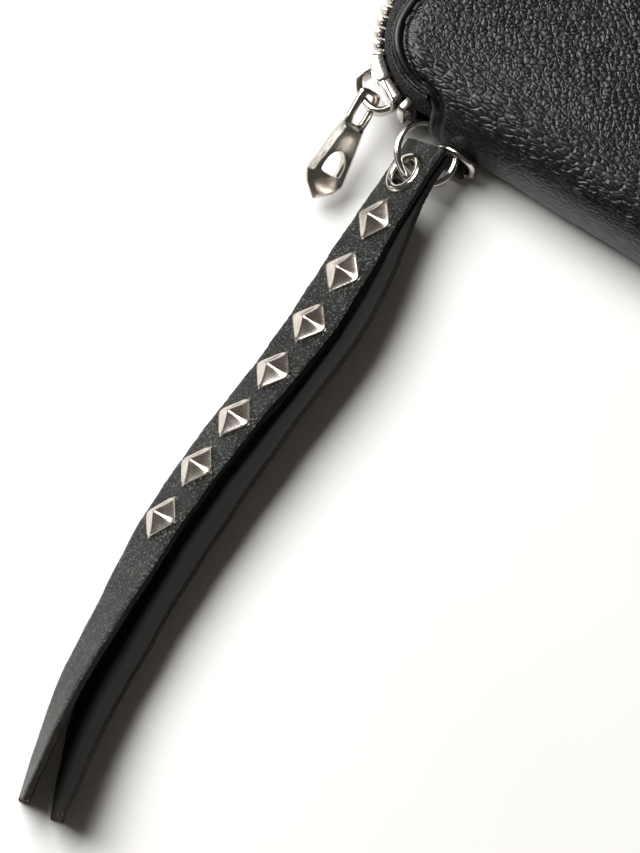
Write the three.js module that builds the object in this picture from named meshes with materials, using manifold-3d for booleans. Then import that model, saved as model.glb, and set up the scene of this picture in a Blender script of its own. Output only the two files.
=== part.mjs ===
// A long zip-around leather wallet lying flat, with a studded leather strap on a split ring.
// Millimetres, +Z up. X runs along the spine, Y from the spine to the zip's long side.
// The origin is on the flat underside of the lower cover.
import * as THREE from "three";
import { mergeVertices } from "three/addons/utils/BufferGeometryUtils.js";
import Module from "manifold-3d";

const wasm = await Module();
wasm.setup();
const { Vector2, Vector3 } = THREE;
const rad = THREE.MathUtils.degToRad;

// ---- Driving dimensions -------------------------------------------------------------------

const THICKNESS = 25;
const MID_Z = THICKNESS / 2;
const GAP = 0.3;

// The two covers: half length, the edge on the spine's side, the edge on the zip's side.
const COVER = { halfX: 97, lowY: -45.5, highY: 49.5, radius: 14.5, thick: 2, bevel: 0.5 };

// The centre line of the zip chain, outside the covers' edge.
const CHAIN = { halfX: 102, lowY: -47.5, highY: 54.5, radius: 21, thick: 2.4 };
const ZIP_END_ANGLE = rad(264);
const PITCH = 2.8;
const TEETH = 143;
const TOOTH = { rootZ: 9.4, neckZ: 10.5, tipZ: 13, partedZ: 11.95 };
const COVER_CLEARANCE = 0.15;

// The tape's section: tucked and sewn under the cover, bowed out, and upright behind the teeth.
const TAPE = {
  thick: 0.5, tuck: 4, sewnZ: 2.2, hemOut: 0.2, bellyShare: 0.55, bellyZ: 4.6, bellyThick: 0.6, footZ: 8.6,
  footLean: 0.3, topZ: 12,
};

// The spine, a strip of the cover leather that bulges past the covers' edge.
const SPINE = { halfX: 79, outerY: -49, thick: 1.6, turnZ: 7, footZ: 0.25 };
const SPINE_BEND = { outer: [[1.2, 0.4], [0, 3]], inner: [[1.6, 4], [2.2, 2.4]] };
const NOTCH = { highX: -64, low: 1.9, high: 19.5, over: 1 };
const OPENING_AXIS = { y: SPINE.outerY, z: MID_Z };
// The upper zip stays with the lower half within a reach of the axis. Its rows part a little further out.
const ZIP_END_REACH = 29.2;
const PARTED_REACH = 34;

// What is inside: linings, card slots, end gussets and the coin pocket between the halves.
const LINING = { low: 2.9, thick: 0.7, inset: 2 };
const SLOT = { halfX: 86, backY: -39, low: 3.8, thick: 0.5, step: 0.8, tops: [34, 22, 10, -2] };
const GUSSET = { outerX: 92, innerX: 81, lowY: -38, highY: 24, thick: 0.6, lowFoldZ: 7.3, midFoldZ: 9.6 };
const POCKET = { halfX: 76, lowY: -41, highY: 38, low: 11, wall: 0.6, high: 14, seam: 2.5 };
const COIN_ZIP = { seamY: 27.3, centreY: 32.5, slit: 0.9, tapeThick: 0.5, rowWidth: 1.2, halfX: 72 };

// The end stops, and the slider on the corner's arc with its bridge and its pull.
const CORNER = { x: -(CHAIN.halfX - CHAIN.radius), y: CHAIN.lowY + CHAIN.radius };
const STOP = { from: rad(257), to: rad(261), halfZ: 3.5, thick: 0.7 };
const SLIDER = {
  centre: rad(237), half: rad(15.5), plate: 0.9, halfZ: 3.9, innerHalfZ: 3.1, lip: 0.6, lipReach: 1.6,
};
const POST = { from: rad(6), to: rad(1.5), halfZ: 0.28 };
const BRIDGE = {
  centre: rad(240), half: 5.5, rise: 5.1, bar: 1.5, thick: 1.5, opening: 3.1, eyeOut: 2, sink: 0.5,
};
const PULL = { length: 27, topWidth: 5.8, endWidth: 9.4, thick: 2.8, rod: 1.2, slot: 6.4, eyeLift: 0.8 };
const PULL_SHAPE = { neck: 1.6, point: 5, eyeRadius: 2, slotRadius: 1.2, overlap: 1 };
const FINGER_HOLE = { up: 3.6, halfX: 2.2, halfY: 2.7 };
// A small overlap that makes two joined solids one.
const WELD = 0.1;
const PULL_DIRECTION = new Vector3(0.044, -0.96, -0.28).normalize();
const PULL_ROLL = rad(45);

// The ring hardware at the spine's end.
const D_RING = {
  x: -70, y: -49.6, barZ: 3.2, halfWidth: 4.4, height: 10.2, wire: 0.8, bend: 1.2, seam: 0.15,
};
const D_ARCH = { springing: 0.5, shoulder: 0.9, crown: 2.4 };
const TAB = { halfWidth: 3, bore: 1.1, outer: 1.9, tailY: -43.5 };
const RING = { x: -76, y: -52.6, z: 9.6, radius: 7.1, wire: 0.55, pitch: 1.16, tilt: rad(24) };
const RING_TURNS = { count: 1.94, start: 0.3 };

// The strap: two strips of leather, held together by one eyelet.
const STRAP = { width: 13.6, thick: 1.9, plyGap: 0.3 };
const EYELET = { hole: 3.2, barrel: 3.6, flange: 5, cut: 3.9, cutDepth: 16, flangeThick: 0.8, washer: 0.5 };
const EYELET_ROLL = { outer: 0.2, outerZ: 0.5, crest: 0.8, inner: 0.5, innerZ: 0.3 };
const STUD = { side: 8, rim: 0.5, height: 3.3, count: 7, firstY: -72, pitchY: 13.9, tip: 0.35 };

// Stations down each strip's middle: X, Y, Z and the angle that the strip stands at, left edge low.
const FRONT_STATIONS = [
  [-76.6, -51.3, 11.1, 45], [-76.7, -59.7, 10.3, 44], [-76.6, -72, 8.2, 38], [-76.2, -86, 6.2, 33],
  [-76.1, -100, 4.9, 33], [-76.6, -114, 5.2, 37], [-77.6, -128, 5.5, 40], [-78.3, -142, 5.6, 42],
  [-78.2, -156, 5.8, 45], [-77.2, -170, 6.1, 50], [-76, -184, 6.5, 57], [-74.4, -198, 6.8, 64],
  [-71.4, -212, 7, 72], [-68.4, -224, 7, 79],
];
const BACK_STATIONS = [
  [-75.1, -51.3, 9.5, 45], [-75.2, -59.7, 8.7, 44], [-74.8, -65.3, 7.95, 43.5], [-72.3, -74, 7.3, 50],
  [-69, -86, 6.9, 59], [-67.7, -100, 6.8, 62], [-68.2, -114, 6.8, 61], [-69.2, -128, 6.6, 57],
  [-70.1, -142, 6.3, 52], [-70.2, -156, 6.1, 48], [-70, -170, 5.9, 45], [-69.2, -184, 5.8, 43],
  [-67.4, -198, 6.2, 48], [-63.9, -211, 6.9, 62], [-59.9, -223.5, 7.1, 74],
];
const STRIP_STEPS = 30;

// The coin zip's slider and its pull: X along the zip, and heights.
const COIN_SLIDER = { x: -66, halfX: 4, halfY: 2.6, low: [12.2, 12.8], high: [15.5, 16.3] };
const COIN_POST = { from: 2, to: 3.4, halfY: 0.2, low: 12.4, high: 15.9 };
const COIN_PULL = { fromX: -63, toX: -51, halfY: 1.4, endRadius: 2.4, low: 16.6, high: 17.5 };

// ---- Materials ----------------------------------------------------------------------------

const finish = (color, roughness, metalness) => ({ color, roughness, metalness });
const COVER_LEATHER = finish(0x17171a, 0.5, 0);
const STRAP_LEATHER = finish(0x1d1f1d, 0.6, 0);
const LINING_LEATHER = finish(0x1a1a1c, 0.7, 0);
const LINING_FABRIC = finish(0x202024, 0.9, 0);
const TAPE_FABRIC = finish(0x121214, 0.95, 0);
const NICKEL = finish(0xc9c6c0, 0.2, 1);

const wallet = new THREE.Group();

function add(name, geometry, look, parent = wallet) {
  const mesh = new THREE.Mesh(geometry, new THREE.MeshStandardMaterial(look));
  mesh.name = name;
  parent.add(mesh);
  return mesh;
}

// ---- Geometry helpers ---------------------------------------------------------------------

/** A geometry with only its positions left and its shared vertices merged. */
function merged(geometry) {
  const plain = geometry.clone();
  plain.deleteAttribute("normal");
  plain.deleteAttribute("uv");
  return mergeVertices(plain, 1e-4);
}

/** The closed geometry as a solid that can be joined and cut. */
function solid(geometry) {
  const plain = merged(geometry);
  const vertProperties = new Float32Array(plain.attributes.position.array);
  const triVerts = new Uint32Array(plain.index.array);
  return new wasm.Manifold(new wasm.Mesh({ numProp: 3, vertProperties, triVerts }));
}

/** The geometry of a solid. */
function geometryOf(body) {
  const mesh = body.getMesh();
  const geometry = new THREE.BufferGeometry();
  const positions = new Float32Array(mesh.numVert * 3);
  for (let i = 0; i < mesh.numVert; i++) {
    const start = i * mesh.numProp;
    positions.set(mesh.vertProperties.subarray(start, start + 3), i * 3);
  }
  geometry.setAttribute("position", new THREE.BufferAttribute(positions, 3));
  geometry.setIndex(new THREE.BufferAttribute(new Uint32Array(mesh.triVerts), 1));
  return geometry;
}

/** A box between two corners. */
function box(low, high) {
  const size = high.map((value, i) => value - low[i]);
  const middle = high.map((value, i) => (value + low[i]) / 2);
  return new THREE.BoxGeometry(...size).translate(...middle);
}

/** A flat outline carried up from one height to another. */
function slab(shape, low, high, curveSegments = 8) {
  const options = { depth: high - low, bevelEnabled: false, curveSegments };
  return new THREE.ExtrudeGeometry(shape, options).translate(0, 0, low);
}

/**
 * Rings of points joined into one skin. A ring runs out along one side of its section and back along
 * the other, so both ends are capped by a ladder between the two sides.
 */
function loft(rings) {
  const sides = rings[0].length;
  const positions = rings.flat().flatMap((p) => [p.x, p.y, p.z]);
  const index = [];
  for (let i = 0; i + 1 < rings.length; i++) {
    for (let j = 0; j < sides; j++) {
      const a = i * sides + j;
      const b = i * sides + ((j + 1) % sides);
      index.push(a, b, b + sides, a, b + sides, a + sides);
    }
  }
  const last = (rings.length - 1) * sides;
  for (let j = 0; j + 1 < sides / 2; j++) {
    const k = sides - 1 - j;
    index.push(j, k - 1, j + 1, j, k, k - 1);
    index.push(last + j, last + j + 1, last + k - 1, last + j, last + k - 1, last + k);
  }
  const geometry = new THREE.BufferGeometry();
  geometry.setAttribute("position", new THREE.Float32BufferAttribute(positions, 3));
  return geometry.setIndex(index);
}

/** The same geometry turned inside out, for a skin whose rings run the other way. */
function flipped(geometry) {
  const index = geometry.index.array;
  for (let i = 0; i < index.length; i += 3) {
    [index[i], index[i + 1]] = [index[i + 1], index[i]];
  }
  return geometry;
}

/** A loft whose faces point out, whichever way its rings run. */
function skin(rings) {
  const geometry = loft(rings);
  return solid(geometry).volume() < 0 ? flipped(geometry) : geometry;
}

/** A round wire along a curve. */
function wire(curve, radius, steps, sides) {
  const section = new THREE.Shape().absarc(0, 0, radius, 0, 2 * Math.PI);
  const options = { steps, extrudePath: curve, bevelEnabled: false, curveSegments: sides };
  return new THREE.ExtrudeGeometry(section, options);
}

/** A rounded rectangle. */
function roundedRectangle({ halfX, lowY, highY, radius }, inset = 0) {
  const x = halfX - inset;
  const low = lowY + inset;
  const high = highY - inset;
  const r = radius - inset;
  const shape = new THREE.Shape();
  shape.absarc(x - r, low + r, r, -Math.PI / 2, 0);
  shape.absarc(x - r, high - r, r, 0, Math.PI / 2);
  shape.absarc(-x + r, high - r, r, Math.PI / 2, Math.PI);
  shape.absarc(-x + r, low + r, r, Math.PI, 1.5 * Math.PI);
  return shape;
}

/** A polygon from [x, y] pairs. */
const polygon = (pairs) => new THREE.Shape(pairs.map(([x, y]) => new Vector2(x, y)));

/** A profile in (Y, Z) carried along X. */
function alongX(shape, lowX, highX) {
  const options = { depth: highX - lowX, bevelEnabled: false, curveSegments: 8 };
  const geometry = new THREE.ExtrudeGeometry(shape, options);
  const basis = new THREE.Matrix4();
  basis.makeBasis(new Vector3(0, 1, 0), new Vector3(0, 0, 1), new Vector3(1, 0, 0));
  return geometry.applyMatrix4(basis).translate(lowX, 0, 0);
}

/** A profile in (X, Z) carried along Y. */
function alongY(shape, lowY, highY) {
  const geometry = new THREE.ExtrudeGeometry(shape, { depth: highY - lowY, bevelEnabled: false });
  const basis = new THREE.Matrix4();
  basis.makeBasis(new Vector3(1, 0, 0), new Vector3(0, 0, 1), new Vector3(0, -1, 0));
  return geometry.applyMatrix4(basis).translate(0, highY, 0);
}

/** The upper half's twin of a piece of the lower half, mirrored in the wallet's middle plane. */
function upperTwin(geometry) {
  const twin = geometry.index ? geometry.clone() : merged(geometry);
  twin.scale(1, 1, -1).translate(0, 0, THICKNESS);
  return flipped(twin);
}

// ---- The rim: the covers' edge and the zip's line, piece by piece --------------------------

/** The rim's seven stretches: corner, short end, corner, long side, corner, short end, corner. */
function rimStretches({ halfX, lowY, highY, radius }) {
  const x = halfX - radius;
  const low = lowY + radius;
  const high = highY - radius;
  const arc = (cx, cy, from, to) => ({ cx, cy, from, to, radius, length: radius * (from - to) });
  const line = (from, to, normal) => ({ a: from, b: to, normal, length: from.distanceTo(to) });
  const left = new Vector2(-1, 0);
  const right = new Vector2(1, 0);
  const far = new Vector2(0, 1);
  return [
    arc(-x, low, ZIP_END_ANGLE, Math.PI),
    line(new Vector2(-halfX, low), new Vector2(-halfX, high), left),
    arc(-x, high, Math.PI, Math.PI / 2),
    line(new Vector2(-x, highY), new Vector2(x, highY), far),
    arc(x, high, Math.PI / 2, 0),
    line(new Vector2(halfX, high), new Vector2(halfX, low), right),
    arc(x, low, 0, Math.PI - ZIP_END_ANGLE),
  ];
}

/** A point on a stretch at the share t of its length, with the normal that points outwards. */
function onStretch(stretch, t) {
  if (stretch.normal) {
    return { point: stretch.a.clone().lerp(stretch.b, t), normal: stretch.normal };
  }
  const angle = stretch.from + (stretch.to - stretch.from) * t;
  const normal = new Vector2(Math.cos(angle), Math.sin(angle));
  const point = new Vector2(stretch.cx, stretch.cy).addScaledVector(normal, stretch.radius);
  return { point, normal };
}

const COVER_RIM = rimStretches(COVER);
const CHAIN_RIM = rimStretches(CHAIN);
const CHAIN_LENGTH = CHAIN_RIM.reduce((sum, stretch) => sum + stretch.length, 0);

/** The chain's point and normal at the distance s from the zip's left end. */
function onChain(s) {
  let rest = Math.min(Math.max(s, 0), CHAIN_LENGTH);
  let stretch = CHAIN_RIM[0];
  for (stretch of CHAIN_RIM) {
    if (rest <= stretch.length) break;
    rest -= stretch.length;
  }
  return onStretch(stretch, Math.min(rest / stretch.length, 1));
}

/** A point in space from a place on the rim, a distance outwards and a height. */
function outFrom({ point, normal }, out, z) {
  return new Vector3(point.x + normal.x * out, point.y + normal.y * out, z);
}

// ---- Covers and spine ---------------------------------------------------------------------

/** A cover: a flat plate with a bevelled rim, at the height of the lower one. */
function coverPlate() {
  const { thick, bevel } = COVER;
  const options = {
    depth: thick - 2 * bevel,
    bevelThickness: bevel,
    bevelSize: bevel,
    bevelOffset: -bevel,
    bevelSegments: 1,
    curveSegments: 8,
  };
  return new THREE.ExtrudeGeometry(roundedRectangle(COVER), options).translate(0, 0, bevel);
}

/** Half of the spine, from the lower cover's edge up to the middle, along its whole length. */
function spineHalf() {
  const { outerY, thick, halfX, turnZ, footZ } = SPINE;
  const edge = COVER.lowY - GAP;
  const top = MID_Z - GAP / 2;
  const outline = new THREE.Shape();
  const [outerBend, innerBend] = [SPINE_BEND.outer, SPINE_BEND.inner].map((bend) =>
    bend.flatMap(([inwards, z]) => [outerY + inwards, z]));
  outline.moveTo(edge, footZ);
  outline.bezierCurveTo(...outerBend, outerY, turnZ);
  outline.lineTo(outerY, top);
  outline.lineTo(outerY + thick, top);
  outline.lineTo(outerY + thick, turnZ);
  outline.bezierCurveTo(...innerBend, edge, COVER.thick);
  return alongX(outline, -halfX, halfX);
}

/** Cuts a half of the spine back at its left end, between two heights. */
function notched(half, low, high) {
  const { highX, over } = NOTCH;
  const notch = box([-SPINE.halfX - over, SPINE.outerY - over, low], [highX, COVER.lowY + over, high]);
  return geometryOf(solid(half).subtract(solid(notch)));
}

add("lower_cover", coverPlate(), COVER_LEATHER);
add("upper_cover", upperTwin(coverPlate()), COVER_LEATHER);
add("spine_lower", notched(spineHalf(), NOTCH.low, THICKNESS), COVER_LEATHER);
add("spine_upper", notched(upperTwin(spineHalf()), 0, NOTCH.high), COVER_LEATHER);

// ---- Linings, card slots and gussets --------------------------------------------------------

/** The lower half's lining. */
function liningSheet() {
  return slab(roundedRectangle(COVER, LINING.inset), LINING.low, LINING.low + LINING.thick);
}

/** A card slot of the lower half: each one lies a step higher and ends a step nearer the spine. */
function cardSlot(number) {
  const low = SLOT.low + number * SLOT.step;
  const { halfX, backY, thick, tops } = SLOT;
  return box([-halfX, backY, low], [halfX, tops[number], low + thick]);
}

/** An accordion gusset: a sheet folded in and out twice between the two halves. */
function gussetSheet() {
  const { outerX, innerX, thick } = GUSSET;
  const folds = [
    [-outerX, LINING.low + LINING.thick + GAP],
    [-outerX, GUSSET.lowFoldZ],
    [-innerX, GUSSET.midFoldZ],
    [-outerX, MID_Z],
  ];
  const rising = [...folds, ...folds.slice(0, 3).reverse().map(([x, z]) => [x, THICKNESS - z])];
  const backwards = rising.map(([x, z]) => [x - thick, z]).reverse();
  return alongY(polygon([...rising, ...backwards]), GUSSET.lowY, GUSSET.highY);
}

add("lower_lining", liningSheet(), LINING_FABRIC);
add("upper_lining", upperTwin(liningSheet()), LINING_FABRIC);
for (let number = 0; number < SLOT.tops.length; number++) {
  add(`lower_card_slot_${number + 1}`, cardSlot(number), LINING_LEATHER);
  add(`upper_card_slot_${number + 1}`, upperTwin(cardSlot(number)), LINING_LEATHER);
}
add("left_gusset", gussetSheet(), LINING_LEATHER);
add("right_gusset", flipped(merged(gussetSheet()).scale(-1, 1, 1)), LINING_LEATHER);

// ---- The zip's tape and teeth ---------------------------------------------------------------

/** The lower tape: sewn under the cover's edge, it bows out and stands up behind the teeth. */
function tapeRing(stretchIndex, t) {
  const edge = onStretch(COVER_RIM[stretchIndex], t);
  const chain = onStretch(CHAIN_RIM[stretchIndex], t);
  const behind = -CHAIN.thick / 2 - GAP;
  const { thick, tuck, sewnZ, hemOut, bellyShare, bellyZ, bellyThick, footZ, footLean, topZ } = TAPE;
  const sewn = outFrom(edge, -tuck, sewnZ);
  const hem = outFrom(edge, hemOut, sewnZ);
  const foot = outFrom(chain, behind, footZ);
  const belly = hem.clone().lerp(foot, bellyShare).setZ(bellyZ);
  const top = outFrom(chain, behind, topZ);
  const outer = [sewn, hem, belly, foot, top];
  const innerTop = outFrom(chain, behind - thick, topZ);
  const innerFoot = outFrom(chain, behind - thick, footZ + footLean);
  const innerBelly = belly.clone().setZ(bellyZ + bellyThick);
  const innerHem = hem.clone().setZ(sewnZ + thick);
  const innerSewn = sewn.clone().setZ(sewnZ + thick);
  return [...outer, innerTop, innerFoot, innerBelly, innerHem, innerSewn];
}

/** The whole lower tape: two or seven rings along each stretch of the rim. */
function tapeSkin() {
  const rings = [];
  CHAIN_RIM.forEach((stretch, index) => {
    const steps = stretch.normal ? 2 : 7;
    for (let step = index === 0 ? 0 : 1; step <= steps; step++) {
      rings.push(tapeRing(index, step / steps));
    }
  });
  return skin(rings);
}

/** The section of a row of teeth at the distance s along the chain, as high as topZ. */
function rowRing(s, topZ) {
  const place = onChain(s);
  const half = CHAIN.thick / 2;
  const { rootZ } = TOOTH;
  return [
    outFrom(place, -half, rootZ),
    outFrom(place, half, rootZ),
    outFrom(place, half, topZ),
    outFrom(place, -half, topZ),
  ];
}

/** A row of pointed teeth on its bead, centred on the long side and bent round the rim. */
function toothRow(count) {
  const { neckZ, tipZ, partedZ } = TOOTH;
  const first = (CHAIN_LENGTH - (count - 1) * PITCH) / 2;
  const rings = [rowRing(first - PITCH / 2, neckZ)];
  for (let k = 0; k < count; k++) {
    const s = first + k * PITCH;
    const parted = onChain(s).point.y < OPENING_AXIS.y + PARTED_REACH;
    rings.push(rowRing(s, parted ? partedZ : tipZ), rowRing(s + PITCH / 2, neckZ));
  }
  return skin(rings);
}

/** A cylinder along the opening axis: what is inside it stays with the lower half. */
function endCylinder(radius) {
  const roll = new THREE.CylinderGeometry(radius, radius, 3 * CHAIN.halfX, 48);
  return solid(roll.rotateZ(Math.PI / 2).translate(0, OPENING_AXIS.y, OPENING_AXIS.z));
}

/**
 * Cuts an upper zip piece into its long middle and its two ends by the spine. The ends stop at the
 * upper cover's edge, so that the cover and its lining lift off them.
 */
function addUpperZip(name, whole, look) {
  const reach = 2 * CHAIN.halfX;
  const leftSide = solid(box([-reach, -reach, -reach], [0, reach, reach]));
  const inCover = slab(roundedRectangle(COVER, -COVER_CLEARANCE), THICKNESS - LINING.low - 1, THICKNESS);
  const ends = whole.intersect(endCylinder(ZIP_END_REACH)).subtract(solid(inCover));
  add(`upper_${name}`, geometryOf(whole.subtract(endCylinder(ZIP_END_REACH + GAP))), look);
  add(`left_${name}_end`, geometryOf(ends.intersect(leftSide)), look);
  add(`right_${name}_end`, geometryOf(ends.subtract(leftSide)), look);
}

add("lower_zip_tape", tapeSkin(), TAPE_FABRIC);
addUpperZip("zip_tape", solid(upperTwin(tapeSkin())), TAPE_FABRIC);
add("lower_zip_teeth", toothRow(TEETH), NICKEL);
addUpperZip("zip_teeth", solid(upperTwin(toothRow(TEETH - 1))), NICKEL);

// ---- End stops, slider and pull -------------------------------------------------------------

/** A stretch of ring about the corner's centre, between two radii, two angles and two heights. */
function corner(innerRadius, outerRadius, from, to, low, high) {
  const shape = new THREE.Shape();
  shape.absarc(CORNER.x, CORNER.y, outerRadius, from, to);
  shape.absarc(CORNER.x, CORNER.y, innerRadius, to, from, true);
  return solid(slab(shape, low, high, 6));
}

/** A bent metal clip over both tapes at the end of the zip. */
function endStop() {
  const { from, to, halfZ, thick } = STOP;
  const face = CHAIN.radius + CHAIN.thick / 2 + GAP;
  const clip = corner(face, face + thick, from, to, MID_Z - halfZ, MID_Z + halfZ);
  const lip = [CHAIN.radius - CHAIN.thick / 2, face + thick, from, to];
  const low = corner(...lip, MID_Z - halfZ - thick, MID_Z - halfZ + WELD);
  const high = corner(...lip, MID_Z + halfZ - WELD, MID_Z + halfZ + thick);
  return geometryOf(clip.add(low).add(high));
}

const chainOuter = CHAIN.radius + CHAIN.thick / 2;
const plateInner = chainOuter + GAP;
const plateOuter = plateInner + SLIDER.plate;
const backOuter = CHAIN.radius - CHAIN.thick / 2 - 2 * GAP - TAPE.thick;

/** The slider: an outer plate with lips, a back plate, and the thin post between the rows. */
function sliderBody() {
  const { centre, half, halfZ, innerHalfZ, plate, lip, lipReach } = SLIDER;
  const from = centre - half;
  const to = centre + half;
  const outer = corner(plateInner, plateOuter, from, to, MID_Z - halfZ, MID_Z + halfZ);
  const back = corner(backOuter - plate, backOuter, from, to, MID_Z - innerHalfZ, MID_Z + innerHalfZ);
  const lipSides = [chainOuter - lipReach, plateInner + WELD, from, to];
  const lower = corner(...lipSides, MID_Z - halfZ, MID_Z - halfZ + lip);
  const upper = corner(...lipSides, MID_Z + halfZ - lip, MID_Z + halfZ);
  const postSides = [backOuter - WELD, plateInner + WELD, to - POST.from, to - POST.to];
  const post = corner(...postSides, MID_Z - POST.halfZ, MID_Z + POST.halfZ);
  return outer.add(back).add(lower).add(upper).add(post).add(bridge());
}

/** The bridge that holds the pull: a low arch standing on the outer plate. */
function bridge() {
  const { half, rise, bar, thick, opening, sink } = BRIDGE;
  const under = rise - bar;
  const arch = new THREE.Shape();
  arch.moveTo(-half, -sink);
  arch.bezierCurveTo(-half - 0.3, rise * 0.7, -half + 1.6, rise, -1.2, rise);
  arch.bezierCurveTo(half - 2, rise, half, rise * 0.5, half, -sink);
  const hole = new THREE.Path();
  hole.moveTo(-opening, sink);
  hole.lineTo(opening, sink);
  hole.bezierCurveTo(opening + 0.5, under - 0.6, opening - 0.6, under, 0, under);
  hole.bezierCurveTo(-opening + 0.2, under, -opening - 0.4, under - 0.8, -opening, sink);
  arch.holes.push(hole);
  const geometry = slab(arch, -thick / 2, thick / 2, 6);
  return solid(geometry.applyMatrix4(bridgeFrame(plateOuter)));
}

/** The frame at a radius over the bridge: X along the zip, Y outwards, Z up. */
function bridgeFrame(radius) {
  const out = new Vector3(Math.cos(BRIDGE.centre), Math.sin(BRIDGE.centre), 0);
  const along = new Vector3(-out.y, out.x, 0).negate();
  const up = new Vector3().crossVectors(along, out);
  const frame = new THREE.Matrix4().makeBasis(along, out, up);
  return frame.setPosition(CORNER.x + out.x * radius, CORNER.y + out.y * radius, MID_Z);
}

/** The pull's frame: X across its face, Y down its length, Z out of its face. */
function pullFrame() {
  const down = PULL_DIRECTION;
  const level = new Vector3(1, 0, 0).addScaledVector(down, -down.x).normalize();
  const upward = new Vector3().crossVectors(level, down).normalize();
  if (upward.z < 0) upward.negate();
  const face = upward.clone().multiplyScalar(Math.cos(PULL_ROLL));
  face.addScaledVector(level, Math.sin(PULL_ROLL));
  const across = new Vector3().crossVectors(down, face);
  const frame = new THREE.Matrix4().makeBasis(across, down, face);
  const eye = new Vector3(0, 0, PULL.eyeLift).applyMatrix4(bridgeFrame(plateOuter + BRIDGE.eyeOut));
  return frame.setPosition(eye.x, eye.y, eye.z);
}

/** The pull: a thin eye at the top, a slot, a body that widens, a finger hole and a pointed end. */
function pullBlade() {
  const { length, topWidth, endWidth, thick, rod, slot } = PULL;
  const { neck, point, eyeRadius, slotRadius, overlap } = PULL_SHAPE;
  const neckY = slot + neck;
  const shoulderY = length - point;
  const halfTop = topWidth / 2;
  const halfSlot = halfTop - rod * 0.8;
  const eye = roundedRectangle({ halfX: halfTop, lowY: -rod / 2, highY: neckY + overlap, radius: eyeRadius });
  eye.holes.push(roundedRectangle({ halfX: halfSlot, lowY: rod / 2, highY: slot, radius: slotRadius }));
  const blade = polygon([
    [-halfTop, neckY - overlap], [halfTop, neckY - overlap], [endWidth / 2, shoulderY], [0, length],
    [-endWidth / 2, shoulderY],
  ]);
  const { up, halfX, halfY } = FINGER_HOLE;
  blade.holes.push(new THREE.Path().absellipse(0, shoulderY - up, halfX, halfY, 0, 2 * Math.PI));
  const body = solid(slab(blade, -thick / 2, thick / 2, 6));
  return geometryOf(body.add(solid(slab(eye, -rod / 2, rod / 2, 4))));
}

add("left_end_stop", endStop(), NICKEL);
add("right_end_stop", flipped(endStop().scale(-1, 1, 1)), NICKEL);
add("zip_slider", geometryOf(sliderBody()), NICKEL);
const pullGroup = new THREE.Group();
pullFrame().decompose(pullGroup.position, pullGroup.quaternion, pullGroup.scale);
wallet.add(pullGroup);
add("zip_pull", pullBlade(), NICKEL, pullGroup);

// ---- Ring tab, D-ring and split ring --------------------------------------------------------

/** The leather tab: a loop round the D-ring's bar, with a tail sewn inside the spine. */
function ringTab() {
  const { halfWidth, bore, outer, tailY } = TAB;
  const loop = new THREE.Shape().absarc(D_RING.y, D_RING.barZ, outer, 0, 2 * Math.PI);
  const hole = new THREE.Path().absarc(D_RING.y, D_RING.barZ, bore, 0, 2 * Math.PI, true);
  loop.holes.push(hole);
  const tail = box(
    [D_RING.x - halfWidth, D_RING.y + GAP, D_RING.barZ + bore + WELD / 2],
    [D_RING.x + halfWidth, tailY, D_RING.barZ + outer],
  );
  const body = solid(alongX(loop, D_RING.x - halfWidth, D_RING.x + halfWidth));
  return geometryOf(body.add(solid(tail)));
}

/** The D's centre line, in the X-Z plane, starting and ending at the seam in its straight bar. */
class DCurve extends THREE.CurvePath {
  constructor() {
    super();
    const { x, y, barZ, halfWidth: w, height, wire: r, bend, seam } = D_RING;
    const at = (dx, dz) => new Vector3(x + dx, y, barZ + dz);
    const top = height - 2 * r;
    const side = top * D_ARCH.springing;
    const shoulder = top * D_ARCH.shoulder;
    const { crown } = D_ARCH;
    const { LineCurve3, QuadraticBezierCurve3, CubicBezierCurve3 } = THREE;
    this.add(new LineCurve3(at(seam, 0), at(w - bend, 0)));
    this.add(new QuadraticBezierCurve3(at(w - bend, 0), at(w, 0), at(w, bend)));
    this.add(new LineCurve3(at(w, bend), at(w, side)));
    this.add(new CubicBezierCurve3(at(w, side), at(w, shoulder), at(crown, top), at(0, top)));
    this.add(new CubicBezierCurve3(at(0, top), at(-crown, top), at(-w, shoulder), at(-w, side)));
    this.add(new LineCurve3(at(-w, side), at(-w, bend)));
    this.add(new QuadraticBezierCurve3(at(-w, bend), at(-w, 0), at(bend - w, 0)));
    this.add(new LineCurve3(at(bend - w, 0), at(-seam, 0)));
  }
}

/** The split ring's centre line: two turns of flat helix about the ring's tilted axis. */
class RingCurve extends THREE.Curve {
  getPoint(t, target = new Vector3()) {
    const { x, y, z, radius, pitch, tilt } = RING;
    const { count, start } = RING_TURNS;
    const angle = 2 * Math.PI * (count * t + start);
    const rise = pitch * count * (t - 0.5);
    const flat = radius * Math.cos(angle);
    target.set(
      x + flat * Math.cos(tilt) + rise * Math.sin(tilt),
      y + radius * Math.sin(angle),
      z - flat * Math.sin(tilt) + rise * Math.cos(tilt),
    );
    return target;
  }
}

add("ring_tab", ringTab(), LINING_LEATHER);
add("d_ring", wire(new DCurve(), D_RING.wire, 44, 4), NICKEL);
add("split_ring", wire(new RingCurve(), RING.wire, 64, 4), NICKEL);

// ---- The strap, its eyelet and its studs ----------------------------------------------------

/** A strip's frame at a station: across its width, along its length and out of its face. */
function stripFrames(stations) {
  const points = stations.map(([x, y, z]) => new Vector3(x, y, z));
  const curve = new THREE.CatmullRomCurve3(points, false, "centripetal");
  const angles = new THREE.CatmullRomCurve3(stations.map(([, , , a]) => new Vector3(a, 0, 0)));
  return (t) => {
    const along = curve.getTangent(t);
    const level = new Vector3(-along.y, along.x, 0).normalize();
    const roll = rad(angles.getPoint(t).x);
    const upward = new Vector3().crossVectors(along, level).normalize();
    if (upward.z < 0) upward.negate();
    const across = level.multiplyScalar(Math.cos(roll)).addScaledVector(upward, Math.sin(roll));
    const face = new Vector3().crossVectors(along, across).normalize();
    if (face.z < 0) face.negate();
    return { centre: curve.getPoint(t), across, along, face };
  };
}

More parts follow.
